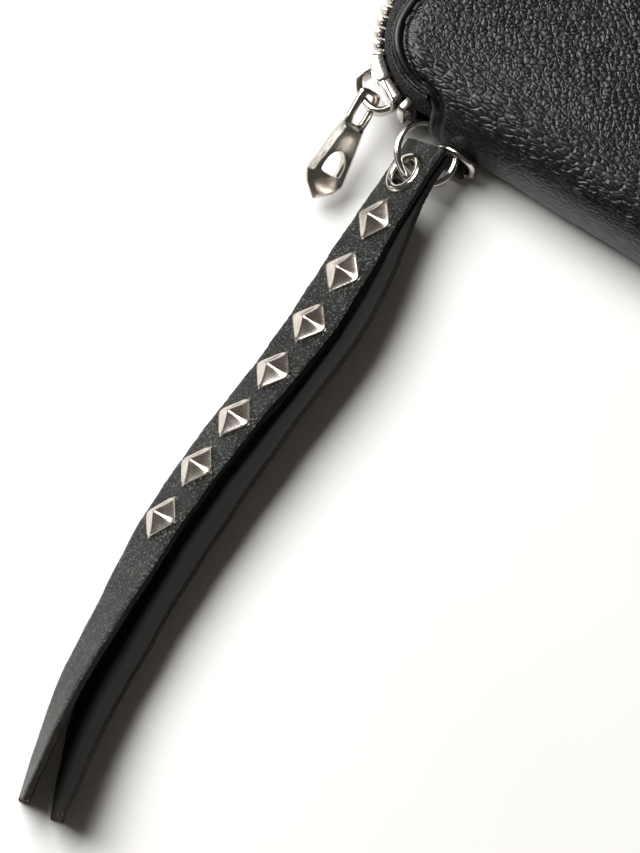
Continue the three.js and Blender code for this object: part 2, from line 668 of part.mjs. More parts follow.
const frontFrame = stripFrames(FRONT_STATIONS);
const backFrame = stripFrames(BACK_STATIONS);

/** The four corners of a strip's section. */
function stripRing({ centre, across, face }) {
  const halfWidth = STRAP.width / 2;
  const halfThick = STRAP.thick / 2;
  const cornerAt = (u, v) =>
    centre.clone().addScaledVector(across, u * halfWidth).addScaledVector(face, v * halfThick);
  return [cornerAt(-1, -1), cornerAt(1, -1), cornerAt(1, 1), cornerAt(-1, 1)];
}

/** The share of the front strip's length at which it reaches a Y. */
function frontShareAt(y) {
  let low = 0;
  let high = 1;
  for (let i = 0; i < 40; i++) {
    const middle = (low + high) / 2;
    if (frontFrame(middle).centre.y > y) low = middle;
    else high = middle;
  }
  return low;
}

/** A frame's place as a matrix, moved along its face's normal. */
function placeOn({ centre, across, face }, lift) {
  const along = new Vector3().crossVectors(face, across);
  const matrix = new THREE.Matrix4().makeBasis(across, along, face);
  return matrix.setPosition(centre.clone().addScaledVector(face, lift));
}

const eyeletPlace = frontFrame(frontShareAt(FRONT_STATIONS[1][1]));
// The height, on the eyelet's axis, of the washer's seat behind both strips.
const STRAP_BACK = -(1.5 * STRAP.thick + STRAP.plyGap + GAP);

/** A cylinder through both strips on the eyelet's axis. */
function eyeletCut() {
  const { cut, cutDepth } = EYELET;
  const cylinder = new THREE.CylinderGeometry(cut, cut, cutDepth, 20).rotateX(Math.PI / 2);
  return solid(cylinder.applyMatrix4(placeOn(eyeletPlace, 0)));
}

/** One strip of the strap, with the eyelet's hole in it. */
function strip(frameAt) {
  const rings = Array.from({ length: STRIP_STEPS + 1 }, (_, i) => stripRing(frameAt(i / STRIP_STEPS)));
  return geometryOf(solid(skin(rings)).subtract(eyeletCut()));
}

/** A turned ring from a closed outline of [radius, height] pairs. */
function turned(pairs) {
  const points = [...pairs, pairs[0]].map(([r, z]) => new Vector2(r, z));
  return new THREE.LatheGeometry(points, 20).rotateX(Math.PI / 2);
}

/** The eyelet's barrel with its rolled front flange. */
function eyeletBarrel() {
  const { hole, barrel, flange, flangeThick } = EYELET;
  const { outer, outerZ, crest, inner, innerZ } = EYELET_ROLL;
  const seat = STRAP.thick / 2 + GAP;
  return turned([
    [hole, STRAP_BACK], [barrel, STRAP_BACK], [barrel, seat], [flange, seat], [flange - outer, seat + outerZ],
    [flange - crest, seat + flangeThick], [hole + inner, seat + flangeThick], [hole, seat + innerZ],
  ]);
}

/** The washer that the barrel is clenched over, behind the back strip. */
function eyeletWasher() {
  const { barrel, flange, washer } = EYELET;
  const low = STRAP_BACK - washer;
  return turned([[barrel + GAP, low], [flange, low], [flange, STRAP_BACK], [barrel + GAP, STRAP_BACK]]);
}

/** A four-sided pyramid stud with a thin rim. */
function studPyramid() {
  const { side, rim, tip, height } = STUD;
  const reach = side / Math.SQRT2;
  const pairs = [[0, 0], [reach, 0], [reach, rim], [tip, height - WELD], [0, height]];
  const profile = pairs.map(([r, z]) => new Vector2(r, z));
  return new THREE.LatheGeometry(profile, 4).rotateX(Math.PI / 2);
}

/** Adds a mesh at a matrix's place and turn. */
function addPlaced(name, geometry, look, matrix) {
  const mesh = add(name, geometry, look);
  matrix.decompose(mesh.position, mesh.quaternion, mesh.scale);
}

add("strap_front", strip(frontFrame), STRAP_LEATHER);
add("strap_back", strip(backFrame), STRAP_LEATHER);
addPlaced("eyelet_barrel", eyeletBarrel(), NICKEL, placeOn(eyeletPlace, 0));
addPlaced("eyelet_washer", eyeletWasher(), NICKEL, placeOn(eyeletPlace, 0));
for (let number = 0; number < STUD.count; number++) {
  const share = frontShareAt(STUD.firstY - number * STUD.pitchY);
  const lift = STRAP.thick / 2 + GAP;
  addPlaced(`stud_${number + 1}`, studPyramid(), NICKEL, placeOn(frontFrame(share), lift));
}

// ---- The coin pocket in the middle ------------------------------------------------------------

/** The coin pocket's seam: a thin strip round its closed sides, between the two walls. */
function pocketSeam() {
  const { halfX, lowY, seam, low, wall, high } = POCKET;
  const top = COIN_ZIP.seamY;
  const outline = polygon([
    [-halfX, top], [-halfX, lowY], [halfX, lowY], [halfX, top],
    [halfX - seam, top], [halfX - seam, lowY + seam], [seam - halfX, lowY + seam], [seam - halfX, top],
  ]);
  return slab(outline, low + wall + GAP, high - wall - GAP);
}

/** One side's piece of the coin zip, from the slit at its middle outwards. */
function coinStrip(side, near, far, halfX, low, high) {
  const a = COIN_ZIP.centreY + side * near;
  const b = COIN_ZIP.centreY + side * far;
  return box([-halfX, Math.min(a, b), low], [halfX, Math.max(a, b), high]);
}

/** Adds both tapes of the coin zip and a plain row on each. */
function addCoinZip() {
  const { slit, tapeThick, rowWidth, halfX, centreY, seamY } = COIN_ZIP;
  const tapeLow = POCKET.high - POCKET.wall;
  const rowLow = tapeLow + tapeThick + GAP;
  const tapeFar = centreY - seamY - GAP;
  for (const [name, side] of [["near", -1], ["far", 1]]) {
    const tape = coinStrip(side, slit / 2, tapeFar, POCKET.halfX - 1, tapeLow, tapeLow + tapeThick);
    add(`coin_tape_${name}`, tape, TAPE_FABRIC);
    const row = coinStrip(side, slit / 2, slit / 2 + rowWidth, halfX, rowLow, rowLow + 1);
    add(`coin_teeth_${name}`, row, NICKEL);
  }
}

/** The coin zip's slider: two plates with a thin post between them, at the left end of its run. */
function coinSlider() {
  const { centreY } = COIN_ZIP;
  const { x, halfX, halfY, low, high } = COIN_SLIDER;
  const [nearY, farY] = [centreY - halfY, centreY + halfY];
  const plate = ([from, to]) => solid(box([x - halfX, nearY, from], [x + halfX, farY, to]));
  const postLow = [x + COIN_POST.from, centreY - COIN_POST.halfY, COIN_POST.low];
  const postHigh = [x + COIN_POST.to, centreY + COIN_POST.halfY, COIN_POST.high];
  return geometryOf(plate(high).add(plate(low)).add(solid(box(postLow, postHigh))));
}

/** The coin zip's small pull, lying flat on the slider. */
function coinPull() {
  const { centreY } = COIN_ZIP;
  const { fromX, toX, halfY, endRadius, low, high } = COIN_PULL;
  const blade = new THREE.Shape();
  blade.moveTo(fromX, centreY - halfY);
  blade.lineTo(toX, centreY - endRadius);
  blade.absarc(toX, centreY, endRadius, -Math.PI / 2, Math.PI / 2);
  blade.lineTo(fromX, centreY + halfY);
  return slab(blade, low, high, 4);
}

/** A wall of the coin pocket, from its bottom edge up to a Y. */
function pocketWall(low, highY) {
  return box([-POCKET.halfX, POCKET.lowY, low], [POCKET.halfX, highY, low + POCKET.wall]);
}

add("coin_front_wall", pocketWall(POCKET.low, POCKET.highY), LINING_LEATHER);
add("coin_back_wall", pocketWall(POCKET.high - POCKET.wall, COIN_ZIP.seamY), LINING_LEATHER);
add("coin_seam", pocketSeam(), LINING_LEATHER);
addCoinZip();
add("coin_slider", coinSlider(), NICKEL);
add("coin_pull", coinPull(), NICKEL);

export default wallet;
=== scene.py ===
"""The looks of a long zip-around leather wallet with a studded leather strap.

Shapes are worked out in millimetres as whole arrays and turned into metres when they become meshes.
X runs along the spine, Y from the spine to the zip's long side, and Z up, as in the frame.
"""

import logging
from collections.abc import Callable
from dataclasses import dataclass, field
from enum import Enum

import bmesh
import bpy
import numpy as np
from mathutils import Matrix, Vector
from mathutils.geometry import delaunay_2d_cdt


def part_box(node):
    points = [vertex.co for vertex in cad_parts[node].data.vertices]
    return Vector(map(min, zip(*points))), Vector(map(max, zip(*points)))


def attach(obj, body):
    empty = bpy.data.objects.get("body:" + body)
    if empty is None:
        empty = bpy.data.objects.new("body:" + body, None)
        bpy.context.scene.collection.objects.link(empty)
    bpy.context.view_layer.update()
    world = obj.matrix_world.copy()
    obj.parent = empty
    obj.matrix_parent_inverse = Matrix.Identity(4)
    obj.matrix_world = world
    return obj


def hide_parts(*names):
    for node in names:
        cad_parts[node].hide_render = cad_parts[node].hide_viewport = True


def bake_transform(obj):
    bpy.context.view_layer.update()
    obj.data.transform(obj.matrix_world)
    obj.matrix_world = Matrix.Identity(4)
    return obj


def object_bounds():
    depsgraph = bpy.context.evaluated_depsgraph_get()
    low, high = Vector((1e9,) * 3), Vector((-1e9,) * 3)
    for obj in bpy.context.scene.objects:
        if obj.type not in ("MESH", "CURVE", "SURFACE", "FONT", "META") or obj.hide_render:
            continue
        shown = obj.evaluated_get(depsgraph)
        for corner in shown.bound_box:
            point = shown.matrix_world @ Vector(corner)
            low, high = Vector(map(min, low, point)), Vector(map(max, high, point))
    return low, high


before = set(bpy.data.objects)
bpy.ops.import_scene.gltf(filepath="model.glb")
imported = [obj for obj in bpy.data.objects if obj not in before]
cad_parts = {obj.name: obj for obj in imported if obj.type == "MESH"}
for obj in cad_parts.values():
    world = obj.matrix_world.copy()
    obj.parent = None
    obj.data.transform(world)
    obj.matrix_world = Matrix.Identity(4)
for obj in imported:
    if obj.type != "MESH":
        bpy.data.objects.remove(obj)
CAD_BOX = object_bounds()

LOG = logging.getLogger("wallet")
MM = 0.001
MID_Z = 12.5
THICKNESS = 25.0
SHARP_ANGLE = np.radians(38)


class Body(Enum):
    """The bodies that the pieces ride on."""

    ROOT = "root"
    TOP = "top_half"
    COIN = "coin_pocket"
    COIN_SLIDER = "coin_slider"
    SLIDER = "zip_slider"
    PULL = "zip_pull"
    D_RING = "d_ring"
    SPLIT_RING = "split_ring"
    STRAP = "strap"


@dataclass
class Surface:
    """Points in millimetres, faces as index arrays, and values that each point carries."""

    points: np.ndarray
    faces: list = field(default_factory=list)
    uv: np.ndarray | None = None
    marks: dict = field(default_factory=dict)


# ---- Small geometry helpers ---------------------------------------------------------------------

def unit(vectors: np.ndarray) -> np.ndarray:
    """The vectors at length one."""
    return vectors / np.linalg.norm(vectors, axis=-1, keepdims=True)


def run_along(path: np.ndarray) -> np.ndarray:
    """The distance run along a line of points at each of them."""
    return np.concatenate([[0], np.cumsum(np.linalg.norm(np.diff(path, axis=0), axis=1))])


def between(at: np.ndarray, key: np.ndarray, table: np.ndarray) -> np.ndarray:
    """Rows of a table at places between its keys, in straight steps."""
    return np.stack([np.interp(at, key, column) for column in table.T], -1)


def eased(line: np.ndarray, rounds: int) -> np.ndarray:
    """A line whose inner points move halfway to the middle of their neighbours, once a round."""
    for _ in range(rounds):
        line[1:-1] = 0.25 * line[:-2] + 0.5 * line[1:-1] + 0.25 * line[2:]
    return line


def still(axis: tuple, path: np.ndarray) -> np.ndarray:
    """One direction for every point of a path."""
    return np.broadcast_to(np.array(axis, float), path.shape)


def fan(turn: np.ndarray) -> np.ndarray:
    """Cosines and sines of angles, as pairs."""
    return np.stack([np.cos(turn), np.sin(turn)], -1)


def grid_faces(rows: int, cols: int, wrap_rows: bool = False, wrap_cols: bool = False) -> np.ndarray:
    """The four-cornered faces of a grid.

    Args:
        rows: points along the first parameter.
        cols: points along the second parameter.
        wrap_rows: whether the last row joins the first.
        wrap_cols: whether the last column joins the first.

    Returns:
        Indices, one face a line.
    """
    r, c = np.meshgrid(
        np.arange(rows if wrap_rows else rows - 1), np.arange(cols if wrap_cols else cols - 1), indexing="ij"
    )
    r1, c1 = (r + 1) % rows, (c + 1) % cols
    return np.stack([r * cols + c, r * cols + c1, r1 * cols + c1, r1 * cols + c], -1).reshape(-1, 4)


def strip_caps(around: int, rows: int) -> list[np.ndarray]:
    """Ladders of quads that close both ends of a thin section: point k joins point around - 1 - k."""
    low = np.arange(around // 2 - 1)
    ladder = np.stack([low, low + 1, around - 2 - low, around - 1 - low], -1)
    return [ladder[:, ::-1], ladder + (rows - 1) * around]


def joined(surfaces: list[Surface]) -> Surface:
    """Several surfaces as one.

    Args:
        surfaces: the surfaces, any of which may carry marks.

    Returns:
        One surface with every mark, which is 0 where a surface had none.
    """
    points, faces, start = [], [], 0
    for surface in surfaces:
        points.append(surface.points)
        faces += [block + start for block in surface.faces]
        start += len(surface.points)
    marks = {
        name: np.concatenate([s.marks.get(name, np.zeros(len(s.points))) for s in surfaces])
        for name in {n for s in surfaces for n in s.marks}
    }
    uv = None
    if all(s.uv is not None for s in surfaces):
        uv = np.concatenate([s.uv for s in surfaces])
    return Surface(np.concatenate(points), faces, uv, marks)


def superellipse(half_width: float, half_height: float, power: float, count: int) -> np.ndarray:
    """A closed outline between an ellipse and a rectangle: each axis is a signed power of cos or sin.

    Args:
        half_width: half of its size along the first axis.
        half_height: half of its size along the second axis.
        power: 1 for an ellipse, towards 0 for a rectangle.
        count: how many points it has.

    Returns:
        The points, anticlockwise.
    """
    angle = np.linspace(0, 2 * np.pi, count, endpoint=False)
    c, s = np.cos(angle), np.sin(angle)
    x = half_width * np.sign(c) * np.abs(c) ** power
    y = half_height * np.sign(s) * np.abs(s) ** power
    return np.stack([x, y], -1)


def tube(path: np.ndarray, across: np.ndarray, lift: np.ndarray, section: np.ndarray,
         closed: bool = False) -> Surface:
    """A section carried along a path: each point is path + u times across + v times lift.

    Args:
        path: points of the centre line.
        across: the section's first direction at each point.
        lift: the section's second direction at each point.
        section: the outline (m, 2), or one outline for each point of the path (n, m, 2).
        closed: whether the path's last point joins its first.

    Returns:
        The closed skin, with U along the path and V round the section.
    """
    n = len(path)
    outline = np.broadcast_to(section, (n,) + section.shape[-2:])
    m = outline.shape[1]
    points = path[:, None] + outline[..., :1] * across[:, None] + outline[..., 1:] * lift[:, None]
    faces = [grid_faces(n, m, closed, True)]
    if not closed:
        ring = np.arange(m)
        faces += [ring[None, ::-1], ring[None] + (n - 1) * m]
    uv = np.stack(np.broadcast_arrays(run_along(path)[:, None], run_along(outline[0])[None]), -1)
    return Surface(points.reshape(-1, 3), faces, uv.reshape(-1, 2))


def wire(path: np.ndarray, normal: tuple, section: np.ndarray, closed: bool = False) -> Surface:
    """A wire along a path that stays square to one normal: across is the tangent crossed with it.

    Args:
        path: points of the centre line.
        normal: the direction that the section's second axis keeps.
        section: the outline, or one outline for each point.
        closed: whether the path's last point joins its first.

    Returns:
        The closed skin.
    """
    tangent = np.gradient(path, axis=0)
    if closed:
        tangent = np.roll(path, -1, 0) - np.roll(path, 1, 0)
    lift = unit(still(normal, path))
    across = unit(np.cross(tangent, lift))
    return tube(path, across, lift, section, closed)


def block(size: tuple, power: float = 0.3, rings: int = 7, sides: int = 12) -> Surface:
    """A box with round edges and corners: a sphere whose cosines and sines are taken to a small power.

    Args:
        size: the box's three sizes.
        power: 1 for an ellipsoid, towards 0 for a sharp box.
        rings: levels from pole to pole, the poles included.
        sides: points round each level.

    Returns:
        The closed shape, centred on the origin.
    """
    level = np.linspace(-np.pi / 2, np.pi / 2, rings)[1:-1]
    girth = np.cos(level) ** power
    height = np.sign(np.sin(level)) * np.abs(np.sin(level)) ** power
    flat = girth[:, None, None] * superellipse(1, 1, power, sides)
    high = np.broadcast_to(height[:, None, None], flat.shape[:2] + (1,))
    rows = np.concatenate([flat, high], -1).reshape(-1, 3)
    points = np.concatenate([rows, [[0, 0, -1], [0, 0, 1]]]) * np.array(size) / 2
    ring = np.arange(sides)
    ahead = (ring + 1) % sides
    top = (len(level) - 1) * sides
    low = np.stack([ahead, ring, np.full(sides, len(rows))], -1)
    high = np.stack([ring + top, ahead + top, np.full(sides, len(rows) + 1)], -1)
    return Surface(points, [grid_faces(len(level), sides, False, True), low, high])


def placed(surface: Surface, origin: tuple, x: tuple = (1, 0, 0), y: tuple = (0, 1, 0),
           z: tuple = (0, 0, 1)) -> Surface:
    """The surface moved to an origin, with its own axes along x, y and z: origin + points times the axes."""
    points = np.array(origin) + surface.points @ np.stack([x, y, z])
    return Surface(points, surface.faces, surface.uv, surface.marks)


def repeated(surface: Surface, origins: np.ndarray, x: np.ndarray, y: np.ndarray, z: np.ndarray) -> Surface:
    """Copies of one small shape, each turned to its own three axes and moved to its own origin.

    Args:
        surface: the shape.
        origins: a place for each copy.
        x: each copy's first axis.
        y: each copy's second axis.
        z: each copy's third axis.

    Returns:
        All the copies as one surface.
    """
    count, size = len(origins), len(surface.points)
    axes = np.stack([x, y, z], 1)
    points = origins[:, None] + np.einsum("pk,nkd->npd", surface.points, axes)
    shift = (np.arange(count) * size)[:, None, None]
    faces = [(part[None] + shift).reshape(-1, part.shape[1]) for part in surface.faces]
    return Surface(points.reshape(-1, 3), faces)


def rounded_rectangle(half_x: float, half_y: float, radius: float, arc: int = 9) -> np.ndarray:
    """A rectangle whose corners are quarter circles, anticlockwise from the right side's low end."""
    corner = radius * fan(np.linspace(0, np.pi / 2, arc))
    turned = [corner, corner[:, ::-1] * [-1, 1], -corner, corner[:, ::-1] * [1, -1]]
    signs = ((1, 1), (-1, 1), (-1, -1), (1, -1))
    middle = np.array([half_x - radius, half_y - radius])
    return np.concatenate([part + middle * sign for part, sign in zip(turned, signs)])


def polygon_rim(corners: np.ndarray, radius: float) -> Callable[[float], np.ndarray]:
    """A polygon with small rounded corners, as a function of how far its sides move inwards.

    The sides move along their normals, so a corner moves along the mitre of its two sides. Each corner is
    then cut back by the radius and rounded with a quadratic curve.

    Args:
        corners: the polygon, anticlockwise.
        radius: how far each corner is cut back.

    Returns:
        A function from an inset to the rim's points.
    """
    side = unit(np.roll(corners, -1, 0) - corners)
    left = np.stack([-side[:, 1], side[:, 0]], -1)
    before = np.roll(left, 1, 0)
    mitre = (left + before) / (1 + np.sum(left * before, 1, keepdims=True))

    def ring(inset: float) -> np.ndarray:
        """The rim at one inset."""
        point = corners + inset * mitre
        start = point + unit(np.roll(point, 1, 0) - point) * radius
        end = point + unit(np.roll(point, -1, 0) - point) * radius
        t = np.linspace(0, 1, 5)[None, :, None]
        curve = start[:, None] * (1 - t) ** 2 + point[:, None] * 2 * t * (1 - t) + end[:, None] * t ** 2
        return curve.reshape(-1, 2)

    return ring


def plate(rims: list, thickness: float, bevel: float, steps: int = 3) -> Surface:
    """A flat plate with holes and bevelled rims.

    Each rim's wall is a ring of quads whose inset follows a quarter turn at both faces, and the flat
    faces are triangulated between the last insets.

    Args:
        rims: a function for the outline and for each hole, from an inset into the metal to a closed curve.
        thickness: the plate's thickness along Z.
        bevel: the bevel's width and height.
        steps: quads round each bevel.

    Returns:
        The closed plate, centred on Z = 0.
    """
    turn = np.linspace(0, np.pi / 2, steps + 1)
    inset = np.concatenate([bevel * (1 - np.sin(turn)), bevel * (1 - np.sin(turn[::-1]))])
    rise = np.concatenate([bevel * (1 - np.cos(turn)), thickness - bevel * (1 - np.cos(turn[::-1]))])
    points, faces, spans, start = [], [], [], 0
    for rim in rims:
        rings = np.stack([rim(d) for d in inset])
        high = np.broadcast_to((rise - thickness / 2)[:, None, None], rings.shape[:2] + (1,))
        points.append(np.concatenate([rings, high], -1).reshape(-1, 3))
        size = rings.shape[1]
        faces.append(grid_faces(len(inset), size, False, True) + start)
        spans.append((start, start + (len(inset) - 1) * size, size))
        start += len(inset) * size
    stacked = np.concatenate(points)
    for end in (0, 1):
        rings = [np.arange(span[end], span[end] + span[2]) for span in spans]
        order = np.concatenate(rings)
        faces.append(order[flat_fill(stacked[order, :2], [len(ring) for ring in rings])])
    return Surface(stacked, faces)


def flat_fill(flat: np.ndarray, sizes: list[int], loose: int = 0) -> np.ndarray:
    """Triangles between closed loops, by constrained Delaunay triangulation.

    Args:
        flat: the points (n, 2), loop after loop, and then any loose ones inside.
        sizes: the number of points in each loop.
        loose: the number of loose points.

    Returns:
        The triangles that lie inside an odd number of loops.
    """
    offsets = np.cumsum([0] + sizes)
    loops = [list(range(offsets[i], offsets[i + 1])) for i in range(len(sizes))]
    edges = [(loop[i - 1], loop[i]) for loop in loops for i in range(len(loop))]
    result = delaunay_2d_cdt([Vector(p) for p in flat.tolist()], edges, [], 0, 1e-9)
    assert len(result[0]) == offsets[-1] + loose
    origin = np.array([ids[0] for ids in result[3]])
    triangles = origin[np.array([face for face in result[2] if len(face) == 3])]
    middle = flat[triangles].mean(1)
    inside = np.zeros(len(middle), bool)
    for loop in loops:
        inside ^= covers(middle, flat[loop])
    return triangles[inside]


def covers(points: np.ndarray, outline: np.ndarray) -> np.ndarray:
    """Whether each point lies inside a closed outline: whether it crosses it an odd number of times.

    Args:
        points: the points (n, 2).
        outline: the outline (m, 2).

    Returns:
        True for each point inside.
    """
    a, b = outline, np.roll(outline, -1, 0)
    spans = (a[None, :, 1] > points[:, None, 1]) != (b[None, :, 1] > points[:, None, 1])
    slope = (b[:, 0] - a[:, 0]) / np.where(b[:, 1] == a[:, 1], 1e-12, b[:, 1] - a[:, 1])
    cross = a[None, :, 0] + (points[:, None, 1] - a[None, :, 1]) * slope[None]
    return ((points[:, None, 0] < cross) & spans).sum(1) % 2 == 1


def wobble(run: np.ndarray, lengths: tuple, heights: tuple, seed: int) -> np.ndarray:
    """A wavering line: a sum of sines whose phases are drawn from the seed.

    Args:
        run: distances along the line.
        lengths: the wave lengths.
        heights: the height of each wave.
        seed: seeds the phases.

    Returns:
        The line's height at each distance.
    """
    phase = np.random.default_rng(seed).uniform(0, 2 * np.pi, len(lengths))
    waves = [h * np.sin(2 * np.pi * run / w + p) for w, h, p in zip(lengths, heights, phase)]
    return np.sum(waves, axis=0)


def smoothstep(values: np.ndarray, low: float, high: float) -> np.ndarray:
    """Zero below low, one above high, and an S between them."""
    t = np.clip((values - low) / (high - low), 0, 1)
    return t * t * (3 - 2 * t)


# ---- Pieces -------------------------------------------------------------------------------------

def mesh_of(name: str, surface: Surface) -> bpy.types.Mesh:
    """A mesh in metres from a surface's points and faces."""
    mesh = bpy.data.meshes.new(name)
    faces = [face for part in surface.faces for face in part.tolist()]
    mesh.from_pydata((surface.points * MM).tolist(), [], faces)
    return mesh


def face_outwards(mesh: bpy.types.Mesh) -> None:
    """Turns every face of a closed mesh outwards."""
    shell = bmesh.new()
    shell.from_mesh(mesh)
    bmesh.ops.recalc_face_normals(shell, faces=shell.faces)
    shell.to_mesh(mesh)
    shell.free()


def make_piece(name: str, surface: Surface, material: bpy.types.Material,
               replaces: tuple = ()) -> bpy.types.Object:
    """A mesh object from a surface, with outward faces and its finish; the CAD nodes that it stands for are
    hidden.

    Args:
        name: the piece's name.
        surface: the shape, in millimetres.
        material: the finish.
        replaces: CAD nodes that the piece stands for.

    Returns:
        The object, not yet riding on a body.
    """
    mesh = mesh_of(name, surface)
    if surface.uv is not None:
        corner = np.zeros(len(mesh.loops), np.int32)
        mesh.loops.foreach_get("vertex_index", corner)
        flat = surface.uv[corner].astype(np.float32)
        mesh.uv_layers.new(name="UVMap").data.foreach_set("uv", flat.ravel())
    for mark, values in surface.marks.items():
        mesh.attributes.new(mark, "FLOAT", "POINT").data.foreach_set("value", values.astype(np.float32))
    face_outwards(mesh)
    mesh.polygons.foreach_set("use_smooth", np.ones(len(mesh.polygons), bool))
    mesh.set_sharp_from_angle(angle=SHARP_ANGLE)
    mesh.materials.append(material)
    piece = bpy.data.objects.new(name, mesh)
    bpy.context.scene.collection.objects.link(piece)
    if replaces:
        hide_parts(*replaces)
    LOG.info("%s: %d faces", name, len(mesh.polygons))
    return piece


def cut_away(piece: bpy.types.Object, cutter: Surface) -> None:
    """Cuts a closed shape out of a piece, and keeps the result as the piece's own mesh."""
    mesh = mesh_of("cutter", cutter)
    face_outwards(mesh)
    tool = bpy.data.objects.new("cutter", mesh)
    bpy.context.scene.collection.objects.link(tool)
    modifier = piece.modifiers.new("cut", "BOOLEAN")
    modifier.object = tool
    modifier.solver = "EXACT"
    graph = bpy.context.evaluated_depsgraph_get()
    result = bpy.data.meshes.new_from_object(piece.evaluated_get(graph))
    piece.modifiers.clear()
    piece.data = result
    bpy.data.objects.remove(tool)


# ---- Finishes -----------------------------------------------------------------------------------

Value = bpy.types.NodeSocket | float | tuple


class Bench:
    """A material under construction: a Principled shader and short ways to add nodes before it."""

    def __init__(self, name: str) -> None:
        """Starts a material with its shader and its Object coordinates."""
        self.material = bpy.data.materials.new(name)
        self.material.use_nodes = True
        self.tree = self.material.node_tree
        self.shader = self.tree.nodes["Principled BSDF"]
        self.place = self.node("ShaderNodeTexCoord").outputs["Object"]

    def node(self, kind: str, inputs: dict | None = None, **settings) -> bpy.types.Node:
        """A node with its settings, and each input set to a value or linked to a socket.

        Args:
            kind: the node's type.
            inputs: a value or a socket for each input's name or number.
            settings: the node's own properties.

        Returns:
            The node.
        """
        made = self.tree.nodes.new(kind)
        for key, value in settings.items():
            setattr(made, key, value)
        for key, value in (inputs or {}).items():
            if isinstance(value, bpy.types.NodeSocket):
                self.tree.links.new(value, made.inputs[key])
            else:
                made.inputs[key].default_value = value
        return made

    def noise(self, size_mm: float, detail: float = 3, rough: float = 0.55) -> bpy.types.NodeSocket:
        """Cloudy noise with features of a size, from 0 to 1."""
        inputs = {"Vector": self.place, "Scale": 1 / (size_mm * MM), "Detail": detail, "Roughness": rough}
        return self.node("ShaderNodeTexNoise", inputs).outputs["Fac"]

    def cells(self, size_mm: float, place: bpy.types.NodeSocket,
              feature: str = "DISTANCE_TO_EDGE") -> bpy.types.NodeSocket:
        """The distance to the nearest border of a cell, or with the feature F1 to its middle."""
        inputs = {"Vector": place, "Scale": 1 / (size_mm * MM)}
        return self.node("ShaderNodeTexVoronoi", inputs, feature=feature).outputs["Distance"]

    def vector(self, operation: str, inputs: dict) -> bpy.types.NodeSocket:
        """One step of vector arithmetic."""
        return self.node("ShaderNodeVectorMath", inputs, operation=operation).outputs[0]

    def bent_place(self, size_mm: float, reach_mm: float) -> bpy.types.NodeSocket:
        """Object coordinates pushed about by noise, so that a pattern looks grown.

        Args:
            size_mm: the size of the noise's features.
            reach_mm: how far a place is pushed at most.

        Returns:
            The bent coordinates.
        """
        cloud = self.node("ShaderNodeTexNoise", {"Vector": self.place, "Scale": 1 / (size_mm * MM)})
        middle = self.vector("SUBTRACT", {0: cloud.outputs["Color"], 1: (0.5, 0.5, 0.5)})
        push = self.vector("SCALE", {0: middle, "Scale": 2 * reach_mm * MM})
        return self.vector("ADD", {0: self.place, 1: push})

    def math(self, operation: str, a: Value, b: Value = 0.0) -> bpy.types.NodeSocket:
        """One arithmetic step."""
        return self.node("ShaderNodeMath", {0: a, 1: b}, operation=operation).outputs[0]

    def ridges(self, place: bpy.types.NodeSocket, pitch: float) -> bpy.types.NodeSocket:
        """Round ridges: the size of the sine of pi times the place over the pitch."""
        return self.math("ABSOLUTE", self.math("SINE", self.math("MULTIPLY", place, np.pi / pitch)))

    def pick(self, share: Value, first: Value, second: Value) -> bpy.types.NodeSocket:
        """Two numbers mixed by a share."""
        return self.node("ShaderNodeMix", {0: share, 2: first, 3: second}).outputs[0]

    def remap(self, value: Value, low: float, high: float, to_low: float = 0.0,
              to_high: float = 1.0) -> bpy.types.NodeSocket:
        """A value stretched from one range to another and held inside it."""
        inputs = {"Value": value, "From Min": low, "From Max": high, "To Min": to_low, "To Max": to_high}
        return self.node("ShaderNodeMapRange", inputs).outputs[0]

    def mix(self, share: Value, first: Value, second: Value) -> bpy.types.NodeSocket:
        """Two colours mixed by a share."""
        made = self.node("ShaderNodeMix", {0: share, 6: first, 7: second}, data_type="RGBA")
        return made.outputs[2]

    def mark(self, name: str) -> bpy.types.NodeSocket:
        """A value that the piece's points carry."""
        return self.node("ShaderNodeAttribute", attribute_name=name).outputs["Fac"]

    def bump(self, height: bpy.types.NodeSocket, depth_mm: float, strength: float = 1.0,
             before: bpy.types.NodeSocket | None = None) -> bpy.types.NodeSocket:
        """A bump of a depth, on top of an earlier one.

        Args:
            height: the height, from 0 to 1.
            depth_mm: the depth that a height of 1 stands for.
            strength: how much of the bump shows.
            before: the normal that an earlier bump gave.

        Returns:
            The new normal.
        """
        inputs = {"Height": height, "Distance": depth_mm * MM, "Strength": strength}
        if before is not None:
            inputs["Normal"] = before
        return self.node("ShaderNodeBump", inputs).outputs[0]

    def finish(self, **inputs: Value) -> bpy.types.Material:
        """Sets or links the shader's inputs and gives the material back."""
        for key, value in inputs.items():
            name = key.replace("_", " ")
            if isinstance(value, bpy.types.NodeSocket):
                self.tree.links.new(value, self.shader.inputs[name])
            else:
                self.shader.inputs[name].default_value = value
        return self.material


